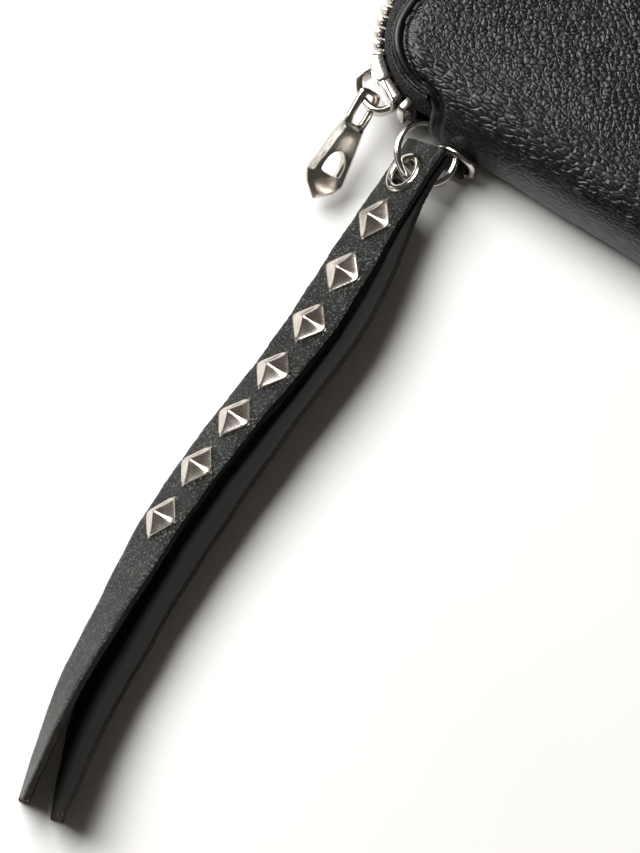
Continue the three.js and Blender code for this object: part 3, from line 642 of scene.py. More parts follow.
@dataclass(frozen=True)
class PebbledLeather:
    """Black cowhide with a raised pebble grain, smooth on its turned edge and creased where it folds."""

    name: str = "pebbled_leather"
    cell_mm: float = 1.3
    drawn_out: tuple = (0.5, 1.25, 1.25)
    # The dark colour is painted shade in the creases, and the light colour is a painted highlight on the
    # domes.
    dark: tuple = (0.002, 0.002, 0.0022, 1)
    light: tuple = (0.009, 0.009, 0.0095, 1)
    relief_mm: float = 0.15

    def pebbles(self, bench: Bench, place: bpy.types.NodeSocket) -> bpy.types.NodeSocket:
        """Domes, 1 less the squared distance to a cell's middle, sunk where two cells meet.

        Args:
            bench: the material under construction.
            place: the coordinates that the cells lie in.

        Returns:
            A height from 0 in the creases to 1 on the domes.
        """
        middle = bench.cells(self.cell_mm, place, "F1")
        dome = bench.math("SUBTRACT", 1.0, bench.math("MULTIPLY", middle, middle))
        crease = bench.remap(bench.cells(self.cell_mm, place), 0.0, 0.2)
        return bench.math("MULTIPLY", crease, bench.remap(dome, 0.2, 1.0, 0.42, 1.0))

    def material(self) -> bpy.types.Material:
        """Pebbles, drawn out along the fold near the spine, with a fine grain on each one's top; the colour
        is painted lighter on the domes as a highlight and darker in the creases as shade.
        """
        bench = Bench(self.name)
        place = bench.bent_place(3.2, 0.5)
        drawn = bench.vector("MULTIPLY", {0: place, 1: self.drawn_out})
        height = bench.pick(bench.mark("turn"), self.pebbles(bench, place), self.pebbles(bench, drawn))
        fine = bench.noise(0.2, 4)
        broad = bench.noise(14.0, 2)
        depth = bench.remap(bench.mark("band"), 0, 1, 1.0, 0.1)
        relief = bench.bump(bench.math("MULTIPLY", height, depth), self.relief_mm, 1.0)
        grain = bench.bump(fine, 0.03, 0.6, relief)
        swell = bench.bump(broad, 0.4, 0.5, grain)
        # Painted light: the domes are painted lighter and the creases darker. The broad noise varies this at
        # random, and it dies away on the smooth edge band.
        tops = bench.math("MULTIPLY", height, bench.remap(broad, 0.3, 0.7, 0.5, 1.0))
        color = bench.mix(bench.math("MULTIPLY", tops, depth), self.dark, self.light)
        shine = bench.math("ADD", fine, bench.math("MULTIPLY", height, -0.25))
        rough = bench.remap(shine, 0.1, 0.75, 0.27, 0.42)
        return bench.finish(Base_Color=color, Roughness=rough, Normal=swell, Specular_IOR_Level=0.4)


@dataclass(frozen=True)
class StrapLeather:
    """Waxed black leather with a fine grain, fibrous where it is cut and matt on its flesh side."""

    name: str = "strap_leather"
    grain_mm: float = 0.7
    face: tuple = (0.0035, 0.004, 0.0036, 1)
    # The next colour is a painted sheen on the raised grain and fold crests, and the speck colour paints
    # small glints.
    wear_and_sheen: tuple = (0.024, 0.027, 0.024, 1)
    speck: tuple = (0.2, 0.215, 0.2, 1)
    fibre: tuple = (0.03, 0.026, 0.022, 1)
    tan: tuple = (0.16, 0.085, 0.04, 1)
    flesh: tuple = (0.018, 0.017, 0.016, 1)

    def material(self) -> bpy.types.Material:
        """Grain on the face with a painted sheen and painted glints, stretched fibres on the cut edge, and
        nap on the flesh side.
        """
        bench = Bench(self.name)
        cut, flesh, tip = bench.mark("cut"), bench.mark("flesh"), bench.mark("tip")
        place = bench.bent_place(2.0, 0.35)
        cells = bench.remap(bench.cells(self.grain_mm, place), 0.0, 0.4)
        pores = bench.remap(bench.noise(0.22, 3), 0.25, 0.7)
        folds = bench.noise(5.5, 4, rough=0.6)
        grain = bench.math("ADD", bench.math("MULTIPLY", cells, 0.6), bench.math("MULTIPLY", pores, 0.4))
        nap = bench.noise(0.3, 6, rough=0.75)
        rough_side = bench.math("MAXIMUM", cut, flesh)
        height = bench.pick(rough_side, grain, nap)
        relief = bench.bump(height, 0.22, 1.0)
        swell = bench.bump(folds, 0.45, 0.45, relief)
        # Painted sheen: the face is painted lighter where the grain cells and the folds rise, and sparse
        # bright specks are painted glints.
        wear_and_sheen = bench.remap(bench.math("MULTIPLY", grain, folds), 0.2, 0.52)
        speck = bench.remap(bench.noise(0.5, 2), 0.55, 0.64)
        sheened_face = bench.mix(wear_and_sheen, self.face, self.wear_and_sheen)
        face = bench.mix(bench.math("MULTIPLY", speck, folds), sheened_face, self.speck)
        loose = bench.remap(nap, 0.35, 0.7)
        edge = bench.mix(loose, self.face, self.fibre)
        brown = bench.math("MULTIPLY", bench.remap(bench.noise(1.1, 3), 0.52, 0.62), tip)
        edge = bench.mix(brown, edge, self.tan)
        inner = bench.mix(loose, self.face, self.flesh)
        color = bench.mix(cut, bench.mix(flesh, face, inner), edge)
        smooth = bench.remap(bench.math("ADD", grain, folds), 0.5, 1.4, 0.42, 0.28)
        rough = bench.pick(rough_side, smooth, 0.85)
        return bench.finish(Base_Color=color, Roughness=rough, Normal=swell, Specular_IOR_Level=0.25)


@dataclass(frozen=True)
class LiningLeather:
    """Thin smooth lining leather with a faint grain."""

    name: str = "lining_leather"
    dark: tuple = (0.006, 0.006, 0.0068, 1)
    light: tuple = (0.014, 0.014, 0.0155, 1)

    def material(self) -> bpy.types.Material:
        """Small cells under a little bump, and a soft change of shade."""
        bench = Bench(self.name)
        cells = bench.remap(bench.cells(0.9, bench.bent_place(2.5, 0.3)), 0.0, 0.35)
        shade = bench.noise(9.0, 3)
        relief = bench.bump(cells, 0.08, 0.6)
        color = bench.mix(bench.math("MULTIPLY", cells, shade), self.dark, self.light)
        rough = bench.remap(shade, 0.3, 0.7, 0.42, 0.55)
        return bench.finish(Base_Color=color, Roughness=rough, Normal=relief)


@dataclass(frozen=True)
class Weave:
    """A woven cloth: two sets of threads that go over and under each other."""

    name: str
    thread_mm: float
    dark: tuple
    light: tuple
    depth_mm: float = 0.16
    own_uv: bool = True
    fuzz_mm: float = 0.5

    def material(self) -> bpy.types.Material:
        """Sine ridges along both directions, taken turn by turn in a chequer, with fuzz over them; the
        colour is painted lighter on the crests as a highlight.
        """
        bench = Bench(self.name)
        place = bench.place
        pitch = self.thread_mm * MM
        if self.own_uv:
            place = bench.node("ShaderNodeUVMap", uv_map="UVMap").outputs[0]
            pitch = self.thread_mm
        split = bench.node("ShaderNodeSeparateXYZ", {0: place})
        warp, weft = (bench.ridges(split.outputs[k], pitch) for k in (0, 1))
        chequer = bench.node("ShaderNodeTexChecker", {"Vector": place, "Scale": 1 / pitch}).outputs["Fac"]
        threads = bench.pick(chequer, warp, weft)
        fuzz = bench.noise(self.fuzz_mm, 3)
        height = bench.math("ADD", bench.math("MULTIPLY", threads, 0.5), bench.math("MULTIPLY", fuzz, 0.5))
        relief = bench.bump(height, self.depth_mm, 0.9)
        # Painted highlight: the colour lightens where the threads crest and the fuzz rises.
        shine = bench.remap(bench.math("MULTIPLY", threads, fuzz), 0.34, 0.5)
        color = bench.mix(shine, self.dark, self.light)
        return bench.finish(Base_Color=color, Roughness=0.8, Normal=relief, Specular_IOR_Level=0.12)


@dataclass(frozen=True)
class Nickel:
    """Polished nickel plate with a warm cast, faint waves and hairline wear."""

    name: str
    color: tuple = (0.74, 0.705, 0.66, 1)
    wear_and_sheen: tuple = (0.58, 0.54, 0.5, 1)
    smooth: float = 0.13
    rough: float = 0.24

    def material(self) -> bpy.types.Material:
        """A mirror metal whose shade and roughness drift, with tiny dents."""
        bench = Bench(self.name)
        drift = bench.noise(2.6, 4)
        speck = bench.noise(0.2, 3)
        color = bench.mix(bench.remap(drift, 0.35, 0.75), self.color, self.wear_and_sheen)
        rough = bench.remap(bench.math("MULTIPLY", drift, speck), 0.15, 0.45, self.smooth, self.rough)
        wave = bench.bump(drift, 0.05, 0.35)
        dents = bench.bump(bench.remap(speck, 0.3, 0.5), 0.006, 0.35, wave)
        return bench.finish(Base_Color=color, Metallic=1.0, Roughness=rough, Normal=dents)


@dataclass(frozen=True)
class Thread:
    """Black bonded thread, twisted."""

    name: str = "thread"
    dark: tuple = (0.004, 0.004, 0.0045, 1)
    light: tuple = (0.05, 0.05, 0.052, 1)

    def material(self) -> bpy.types.Material:
        """Fine fibres with a soft gloss."""
        bench = Bench(self.name)
        fibre = bench.noise(0.12, 4)
        color = bench.mix(bench.remap(fibre, 0.35, 0.7), self.dark, self.light)
        return bench.finish(Base_Color=color, Roughness=0.55, Normal=bench.bump(fibre, 0.06, 0.8))


@dataclass
class Finishes:
    """Every material, made once."""

    cover: bpy.types.Material = field(default_factory=lambda: PebbledLeather().material())
    strap: bpy.types.Material = field(default_factory=lambda: StrapLeather().material())
    lining: bpy.types.Material = field(default_factory=lambda: LiningLeather().material())
    fabric: bpy.types.Material = field(default_factory=lambda: Weave(
        "lining_fabric", 0.45, (0.006, 0.006, 0.0075, 1), (0.024, 0.024, 0.029, 1), 0.07, False).material())
    tape: bpy.types.Material = field(default_factory=lambda: Weave(
        "zip_tape", 0.75, (0.001, 0.001, 0.0012, 1), (0.1, 0.1, 0.1, 1), 0.6).material())
    zip_nickel: bpy.types.Material = field(default_factory=lambda: Nickel("zip_nickel").material())
    ring_nickel: bpy.types.Material = field(default_factory=lambda: Nickel(
        "ring_nickel", (0.78, 0.75, 0.71, 1), smooth=0.1, rough=0.2).material())
    stud_nickel: bpy.types.Material = field(default_factory=lambda: Nickel(
        "stud_nickel", (0.76, 0.69, 0.61, 1), smooth=0.2, rough=0.34).material())
    thread: bpy.types.Material = field(default_factory=lambda: Thread().material())


# ---- The rim ------------------------------------------------------------------------------------

@dataclass
class Rim:
    """A line round three sides of the wallet, from the spine's left end to its right end.

    Stretches 0 to 6 are corner, short end, corner, long side, corner, short end and corner. The first
    corner starts at the end angle. A place is either a share p, the stretch's number plus the share of its
    length, or the distance run along the line.
    """

    half_x: float
    low_y: float
    high_y: float
    radius: float
    end_angle: float = np.radians(276)

    def __post_init__(self) -> None:
        """Tables of points and normals: arcs from their angles, lines from their ends."""
        r = self.radius
        x, low, high = self.half_x - r, self.low_y + r, self.high_y - r
        share = np.linspace(0, 1, 49)

        def arc(cx: float, cy: float, start: float, end: float) -> np.ndarray:
            """Points and normals along an arc."""
            spoke = fan(start + (end - start) * share)
            return np.concatenate([spoke * r + [cx, cy], spoke], -1)

        def line(start: tuple, end: tuple, normal: tuple) -> np.ndarray:
            """Points and normals along a straight stretch."""
            middle = np.outer(1 - share, start) + np.outer(share, end)
            return np.concatenate([middle, still(normal, middle)], -1)

        stretches = [
            arc(-x, low, self.end_angle, np.pi),
            line((-self.half_x, low), (-self.half_x, high), (-1, 0)),
            arc(-x, high, np.pi, np.pi / 2),
            line((-x, self.high_y), (x, self.high_y), (0, 1)),
            arc(x, high, np.pi / 2, 0),
            line((self.half_x, high), (self.half_x, low), (1, 0)),
            arc(x, low, 0, np.pi - self.end_angle),
        ]
        self.table = np.concatenate(stretches)
        self.shares = np.concatenate([index + share for index in range(len(stretches))])
        self.runs = run_along(self.table[:, :2])
        self.length = self.runs[-1]

    def at_share(self, share: np.ndarray) -> tuple[np.ndarray, np.ndarray]:
        """Points and outward normals at shares."""
        return self._pick(share, self.shares)

    def at_run(self, run: np.ndarray) -> tuple[np.ndarray, np.ndarray]:
        """Points and outward normals at distances along the line."""
        return self._pick(run, self.runs)

    def _pick(self, value: np.ndarray, key: np.ndarray) -> tuple[np.ndarray, np.ndarray]:
        """Looks points and normals up in the table."""
        found = between(value, key, self.table)
        return found[:, :2], unit(found[:, 2:])


def out_from(points: np.ndarray, normals: np.ndarray, out: float | np.ndarray,
             z: float | np.ndarray) -> np.ndarray:
    """Points in space from places on a rim: point + out times normal, at a height.

    Args:
        points: places on the rim (n, 2).
        normals: the rim's outward normals there.
        out: how far outwards, one number or one for each place.
        z: the height, one number or one for each place.

    Returns:
        The points (n, 3).
    """
    flat = points + normals * np.reshape(out, (-1, 1))
    return np.concatenate([flat, np.broadcast_to(np.reshape(z, (-1, 1)), (len(flat), 1))], -1)


# ---- The outer leather --------------------------------------------------------------------------

@dataclass
class OuterLeather:
    """Both covers and the spine: one sheet of leather folded round the back of the wallet.

    The sheet is laid out flat in (x, s), where s runs across it from the upper zip edge over the spine to
    the lower zip edge, and is then bent: a point goes to the fold's curve at s plus its height times the
    curve's normal.
    """

    finishes: Finishes
    half_x: float = 97.0
    high_y: float = 49.5
    corner_y: float = -31.0
    corner_r: float = 14.5
    spine_half_x: float = 79.0
    spine_y: float = -47.8
    hinge_y: float = -49.0
    fold_y: float = -37.0
    sunk: float = 0.4
    leather: float = 1.5
    fold_power: float = 0.74
    edge_points: int = 980
    edge_profile: tuple = (
        (0, -0.95), (0.12, -0.5), (0.3, -0.2), (0.6, 0.02), (1.0, 0.12), (1.45, 0.12), (1.8, 0.0),
        (2.05, -0.3), (2.3, -0.62), (2.55, -0.78), (2.8, -0.74), (3.05, -0.55), (3.3, -0.28),
        (3.7, -0.02), (4.4, 0.18), (5.4, 0.27), (6.6, 0.3))
    seam_inset: float = 2.6
    seam_sunk: float = -0.42
    seam_end: float = 19.0
    stitch: float = 3.8
    thread_size: tuple = (2.75, 0.8, 0.62)

    def __post_init__(self) -> None:
        """The fold's curve: flat tops, and half a superellipse round the spine."""
        c, s = fan(np.linspace(np.pi / 2, -np.pi / 2, 161)).T
        deep, tall = self.fold_y - self.spine_y, MID_Z - self.sunk
        back = self.fold_y - deep * np.abs(c) ** self.fold_power
        fold = np.stack([back, MID_Z + tall * np.sign(s) * np.abs(s) ** self.fold_power], -1)
        flat = np.linspace(self.high_y, self.fold_y, 60)[:-1]
        top = np.stack([flat, np.full_like(flat, MID_Z + tall)], -1)
        low = np.stack([flat[::-1], np.full_like(flat, MID_Z - tall)], -1)
        self.curve = np.concatenate([top, fold, low])
        self.run = run_along(self.curve)
        self.width = self.run[-1]
        tangent = unit(np.gradient(self.curve, self.run, axis=0))
        self.normal = np.stack([tangent[:, 1], -tangent[:, 0]], -1)

    def bent(self, flat: np.ndarray, height: np.ndarray) -> np.ndarray:
        """Flat points (x, s) at their heights, folded round the spine."""
        normal = unit(between(flat[:, 1], self.run, self.normal))
        bent = between(flat[:, 1], self.run, self.curve) + normal * height[:, None]
        return np.concatenate([flat[:, :1], bent], -1)

    def outline(self) -> np.ndarray:
        """The flat sheet's outline, anticlockwise in (x, s), evenly spaced.

        One quarter runs from the upper zip edge's middle round the far corner, down the short end, round
        the corner by the spine and into the spine's end; the other quarters are its mirrors.
        """
        r, x = self.corner_r, self.half_x
        turn = np.linspace(0, np.pi / 2, 40)
        far = np.stack([x - r + r * np.sin(turn), r - r * np.cos(turn)], -1)
        corner_s = self.high_y - self.corner_y
        near_y = self.corner_y - r * np.sin(turn)
        top = self.curve[:, 1] >= MID_Z
        near_s = np.interp(-near_y, -self.curve[top, 0], self.run[top])
        near = np.stack([x - r + r * np.cos(turn), near_s], -1)
        small = x - r - self.spine_half_x
        throat = np.stack([near[-1, 0] - small * np.sin(turn), near[-1, 1] + small * (1 - np.cos(turn))], -1)
        straight = np.array([[x, r], [x, corner_s]])
        quarter = np.concatenate([[[0, 0]], far, straight, near, throat[1:],
                                  [[self.spine_half_x, self.width / 2]]])
        lower = quarter[::-1] * [1, -1] + [0, self.width]
        right = np.concatenate([quarter, lower[1:]])
        left = right[::-1] * [-1, 1]
        loop = np.concatenate([right, left[1:]])
        step = np.linalg.norm(np.diff(loop, axis=0), axis=1)
        keep = np.concatenate([[True], step > 1e-6])
        loop, step = loop[keep], step[step > 1e-6]
        run = np.concatenate([[0], np.cumsum(step)])
        return between(np.linspace(0, run[-1], self.edge_points, endpoint=False), run, loop)

    @staticmethod
    def inward(outline: np.ndarray) -> np.ndarray:
        """The outline's normals towards the sheet's middle."""
        tangent = unit(np.roll(outline, -2, 0) - np.roll(outline, 2, 0))
        return np.stack([-tangent[:, 1], tangent[:, 0]], -1)

    def scattered(self, outline: np.ndarray, clear: float) -> np.ndarray:
        """Points inside the outline on a jittered grid, all further from it than a clear distance."""
        x, s = np.meshgrid(np.arange(-96, 96.1, 2.0), np.arange(2, self.width - 1, 2.0), indexing="ij")
        inner = np.stack([x.ravel(), s.ravel()], -1)
        inner += np.random.default_rng(5).uniform(-0.3, 0.3, inner.shape)
        near = np.array([np.min(np.linalg.norm(outline - point, axis=1)) for point in inner])
        return inner[(near > clear) & covers(inner, outline)]

    def sheet(self) -> Surface:
        """The folded sheet: rings that follow the edge, a triangulated middle, and an inner face.

        The rings' heights draw the turned edge, the sunken seam and the swell beside it. The grain dies away
        on the edge and is drawn out where the sheet turns round the spine.
        """
        outline = self.outline()
        depth, rise = np.array(self.edge_profile).T
        rings = outline[None] + depth[:, None, None] * self.inward(outline)[None]
        flat = rings.reshape(-1, 2)
        height = np.repeat(rise, len(outline))
        last = np.arange(len(outline)) + (len(depth) - 1) * len(outline)
        inner = self.scattered(outline, depth[-1] + 1.0)
        flat = np.concatenate([flat, inner])
        height = np.concatenate([height, np.full(len(inner), rise[-1])])
        lookup = np.concatenate([last, np.arange(len(inner)) + len(rings.reshape(-1, 2))])
        middle = lookup[flat_fill(flat[lookup], [len(last)], len(inner))]
        lying = smoothstep(flat[:, 1], self.width / 2 + 8, self.width / 2 + 18)
        height = height - np.clip(height, 0, None) * lying
        swell = wobble(flat[:, 0] + 0.7 * flat[:, 1], (61, 37, 23), (0.4, 0.3, 0.2), 3)
        height += 0.25 * (1 - lying) * swell
        inset = np.concatenate([np.repeat(depth, len(outline)), np.full(len(inner), depth[-1])])
        band = 1 - smoothstep(inset, 1.7, 2.6)
        outer = self.bent(flat, height)
        under = self.bent(flat, np.full(len(flat), -self.leather))
        count, n = len(flat), len(outline)
        edge = np.arange(n)
        rim = np.stack([edge, np.roll(edge, -1), np.roll(edge, -1) + count, edge + count], -1)
        quads = grid_faces(len(depth), n, False, True)
        faces = [quads, middle, quads[:, ::-1] + count, middle[:, ::-1] + count, rim[:, ::-1]]
        turn = 1 - smoothstep(np.abs(flat[:, 1] - self.width / 2), 12, 34)
        marks = {"band": np.tile(band, 2), "turn": np.tile(turn, 2)}
        return Surface(np.concatenate([outer, under]), faces, None, marks)

    def stitches(self, upper: bool) -> Surface:
        """Short lengths of thread in the sunken seam of one cover, from one spine corner to the other.

        Args:
            upper: whether the cover is the upper one.

        Returns:
            The row of stitches, each square to the folded sheet.
        """
        outline = self.outline()
        shift = len(outline) // 2 if upper else 0
        seam = np.roll(outline + self.seam_inset * self.inward(outline), shift, 0)
        from_spine = (self.width / 2 - seam[:, 1]) * (1 if upper else -1)
        seam = seam[from_spine > self.seam_end]
        run = run_along(seam)
        at = np.arange(self.stitch, run[-1] - self.stitch, self.stitch)
        flat, ahead = between(at, run, seam), between(at + 0.5, run, seam)
        low = np.full(len(at), self.seam_sunk)
        origin = self.bent(flat, low)
        along = unit(self.bent(ahead, low) - origin)
        up = unit(self.bent(flat, low + 1) - origin)
        return repeated(block(self.thread_size, 0.7, 7, 8), origin, along, np.cross(up, along), up)

    def build(self) -> None:
        """Makes the sheet and the two rows of stitches."""
        nodes = ("lower_cover", "upper_cover", "spine_lower", "spine_upper")
        sheet = make_piece("outer_leather", self.sheet(), self.finishes.cover, nodes)
        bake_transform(sheet)
        for upper, body in ((True, Body.TOP), (False, Body.ROOT)):
            name = "cover_stitches_upper" if upper else "cover_stitches_lower"
            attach(make_piece(name, self.stitches(upper), self.finishes.thread), body.value)


# ---- The zip ------------------------------------------------------------------------------------

@dataclass
class Zip:
    """The main zip: two tapes, two rows of teeth and the end stops."""

    finishes: Finishes
    cover: Rim = field(default_factory=lambda: Rim(97.0, -45.5, 49.5, 14.5))
    chain: Rim = field(default_factory=lambda: Rim(102.0, -47.5, 54.5, 21.0))
    pitch: float = 2.8
    teeth: int = 143
    tooth_size: tuple = (1.32, 2.7, 4.3)
    tooth_offset: float = 1.35
    tape: float = 0.5
    behind: float = -1.5
    split: float = 1.112
    short: float = 0.125
    tape_gap: float = 0.006
    end_reach_y: float = -19.8
    stop_angle: float = np.radians(259)

    def tape_section(self, share: np.ndarray, tuck: float) -> np.ndarray:
        """The lower tape's middle line at each share: under the cover, out, and up behind the teeth.

        Args:
            share: places along the rim.
            tuck: how far the tape reaches in under the cover.

        Returns:
            Points (places, stations, 3), smooth between a few leading points.
        """
        edge, edge_n = self.cover.at_share(share)
        chain, chain_n = self.chain.at_share(share)
        inner = out_from(edge, edge_n, -tuck, 2.35)
        hem = out_from(edge, edge_n, 0.4, 2.5)
        foot = out_from(chain, chain_n, self.behind, 8.4)
        top = out_from(chain, chain_n, self.behind, 11.9)
        belly = hem * [0.5, 0.5, 0] + foot * [0.5, 0.5, 0] + [0, 0, 4.1]
        waist = hem * [0.14, 0.14, 0] + foot * [0.86, 0.86, 0] + [0, 0, 6.1]
        lead = np.stack([inner, hem, belly, waist, foot, top], 1)
        key = np.linspace(0, 1, lead.shape[1])
        fine = np.linspace(0, 1, 22)
        return np.stack([eased(between(fine, key, row), 3) for row in lead])

    def tape_piece(self, low: float, high: float, upper: bool, tuck: float) -> Surface:
        """A stretch of tape with its thickness: the middle line plus and minus half of it.

        Args:
            low: the share of the rim where it starts.
            high: the share where it ends.
            upper: whether it is the upper tape, the lower one's mirror image.
            tuck: how far it reaches in under the cover.

        Returns:
            The closed tape, with U along the rim and V across the tape.
        """
        count = int((high - low) * 60) + 8
        share = np.linspace(low, high, count)
        line = self.tape_section(share, tuck)
        along = unit(np.gradient(line, axis=0))
        over = unit(np.gradient(line, axis=1))
        normal = unit(np.cross(along, over))
        half = normal * self.tape / 2
        skin = np.concatenate([line + half, (line - half)[:, ::-1]], 1)
        if upper:
            skin = skin * [1, 1, -1] + [0, 0, THICKNESS]
        n, m = skin.shape[:2]
        faces = [grid_faces(n, m, False, True)] + strip_caps(m, n)
        across = run_along(line[0])
        across = np.concatenate([across, across[::-1]])
        uv = np.stack(np.broadcast_arrays(run_along(line[:, -1])[:, None], across[None]), -1)
        return Surface(skin.reshape(-1, 3), faces, uv.reshape(-1, 2))

    def tooth(self) -> Surface:
        """One tooth, pointing up: a round-edged block that narrows to its tip and clasps the tape."""
        shape = block(self.tooth_size, 0.42, 9, 12)
        height = np.clip(shape.points[:, 2:] / (self.tooth_size[2] / 2), 0, 1)
        narrow = np.concatenate([1 - 0.18 * height, 1 - 0.1 * height], -1)
        points = shape.points * np.concatenate([narrow, np.ones_like(height)], -1)
        return Surface(points, shape.faces)

    def row(self, upper: bool, keep: Callable[[np.ndarray], np.ndarray]) -> Surface:
        """The teeth of one row whose places pass a test, each square to the rim.

        Args:
            upper: whether the row is the upper one, which has one tooth less and points down.
            keep: says for each place on the rim whether its tooth is made.

        Returns:
            The teeth as one surface.
        """
        count = self.teeth - 1 if upper else self.teeth
        first = (self.chain.length - (count - 1) * self.pitch) / 2
        run = first + np.arange(count) * self.pitch
        point, normal = self.chain.at_run(run)
        chosen = keep(point)
        point, normal = point[chosen], normal[chosen]
        side = -1 if upper else 1
        origin = out_from(point, normal, 0.0, MID_Z - side * self.tooth_offset)
        out = np.concatenate([normal, np.zeros((len(point), 1))], -1)
        up = still((0, 0, side), out)
        return repeated(self.tooth(), origin, np.cross(out, up), out, up)

    def end_stop(self, side: int) -> Surface:
        """A flat wire bent into a U over both tapes: two legs and a nose of two quarter turns.

        Args:
            side: -1 for the zip's left end, 1 for its right end.

        Returns:
            The closed wire.
        """
        r = self.chain.radius
        bend = np.radians(np.linspace(90, -90, 13))
        nose = np.stack([r + 1.2 + 0.9 * np.cos(bend), 2.9 * np.sign(bend) + 0.9 * np.sin(bend)], -1)
        leg = np.array([[r - 1.0, 3.8], [r + 0.2, 3.8]])
        line = np.concatenate([leg, nose, leg[::-1] * [1, -1]])
        out = np.array([*fan(self.stop_angle), 0])
        centre = np.array([-(self.chain.half_x - r), self.chain.low_y + r, MID_Z])
        path = centre + line[:, :1] * out + line[:, 1:] * np.array([0, 0, 1.0])
        along = np.cross([0, 0, 1.0], out)
        clip = wire(path, along, superellipse(0.36, 0.95, 0.45, 16))
        clip.points = clip.points * [-side, 1, 1]
        return clip

    @staticmethod
    def anywhere(places: np.ndarray) -> np.ndarray:
        """True for every place on the rim."""
        return np.ones(len(places), bool)

    def at_end(self, places: np.ndarray) -> np.ndarray:
        """Whether each place lies by the spine, where the upper row stays with the lower half."""
        return places[:, 1] <= self.end_reach_y

    def build(self) -> None:
        """Makes the tapes, the rows and the stops, each riding where its CAD node does."""
        tape, nickel = self.finishes.tape, self.finishes.zip_nickel
        split, upper_low = self.split, self.split + self.tape_gap
        parts = (
            ("lower_tape", self.short, 7 - self.short, False, 3.5, "lower_zip_tape", Body.ROOT),
            ("upper_tape", upper_low, 7 - upper_low, True, 3.5, "upper_zip_tape", Body.TOP),
            ("left_tape_end", 0, split, True, 0.9, "left_zip_tape_end", Body.ROOT),
            ("right_tape_end", 7 - split, 7, True, 0.9, "right_zip_tape_end", Body.ROOT),
        )
        for name, low, high, upper, tuck, node, body in parts:
            piece = make_piece(name, self.tape_piece(low, high, upper, tuck), tape, (node,))
            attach(piece, body.value)
        rows = (
            ("lower_teeth", False, self.anywhere, "lower_zip_teeth", Body.ROOT),
            ("upper_teeth", True, lambda p: ~self.at_end(p), "upper_zip_teeth", Body.TOP),
            ("left_teeth_end", True, lambda p: self.at_end(p) & (p[:, 0] < 0), "left_zip_teeth_end",
             Body.ROOT),
            ("right_teeth_end", True, lambda p: self.at_end(p) & (p[:, 0] > 0), "right_zip_teeth_end",
             Body.ROOT),
        )
        for name, upper, keep, node, body in rows:
            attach(make_piece(name, self.row(upper, keep), nickel, (node,)), body.value)
        for name, side in (("left_stop", -1), ("right_stop", 1)):
            node = f"{name.split('_')[0]}_end_stop"
            piece = make_piece(name, self.end_stop(side), nickel, (node,))
            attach(piece, Body.ROOT.value)


# ---- Slider and pull ----------------------------------------------------------------------------

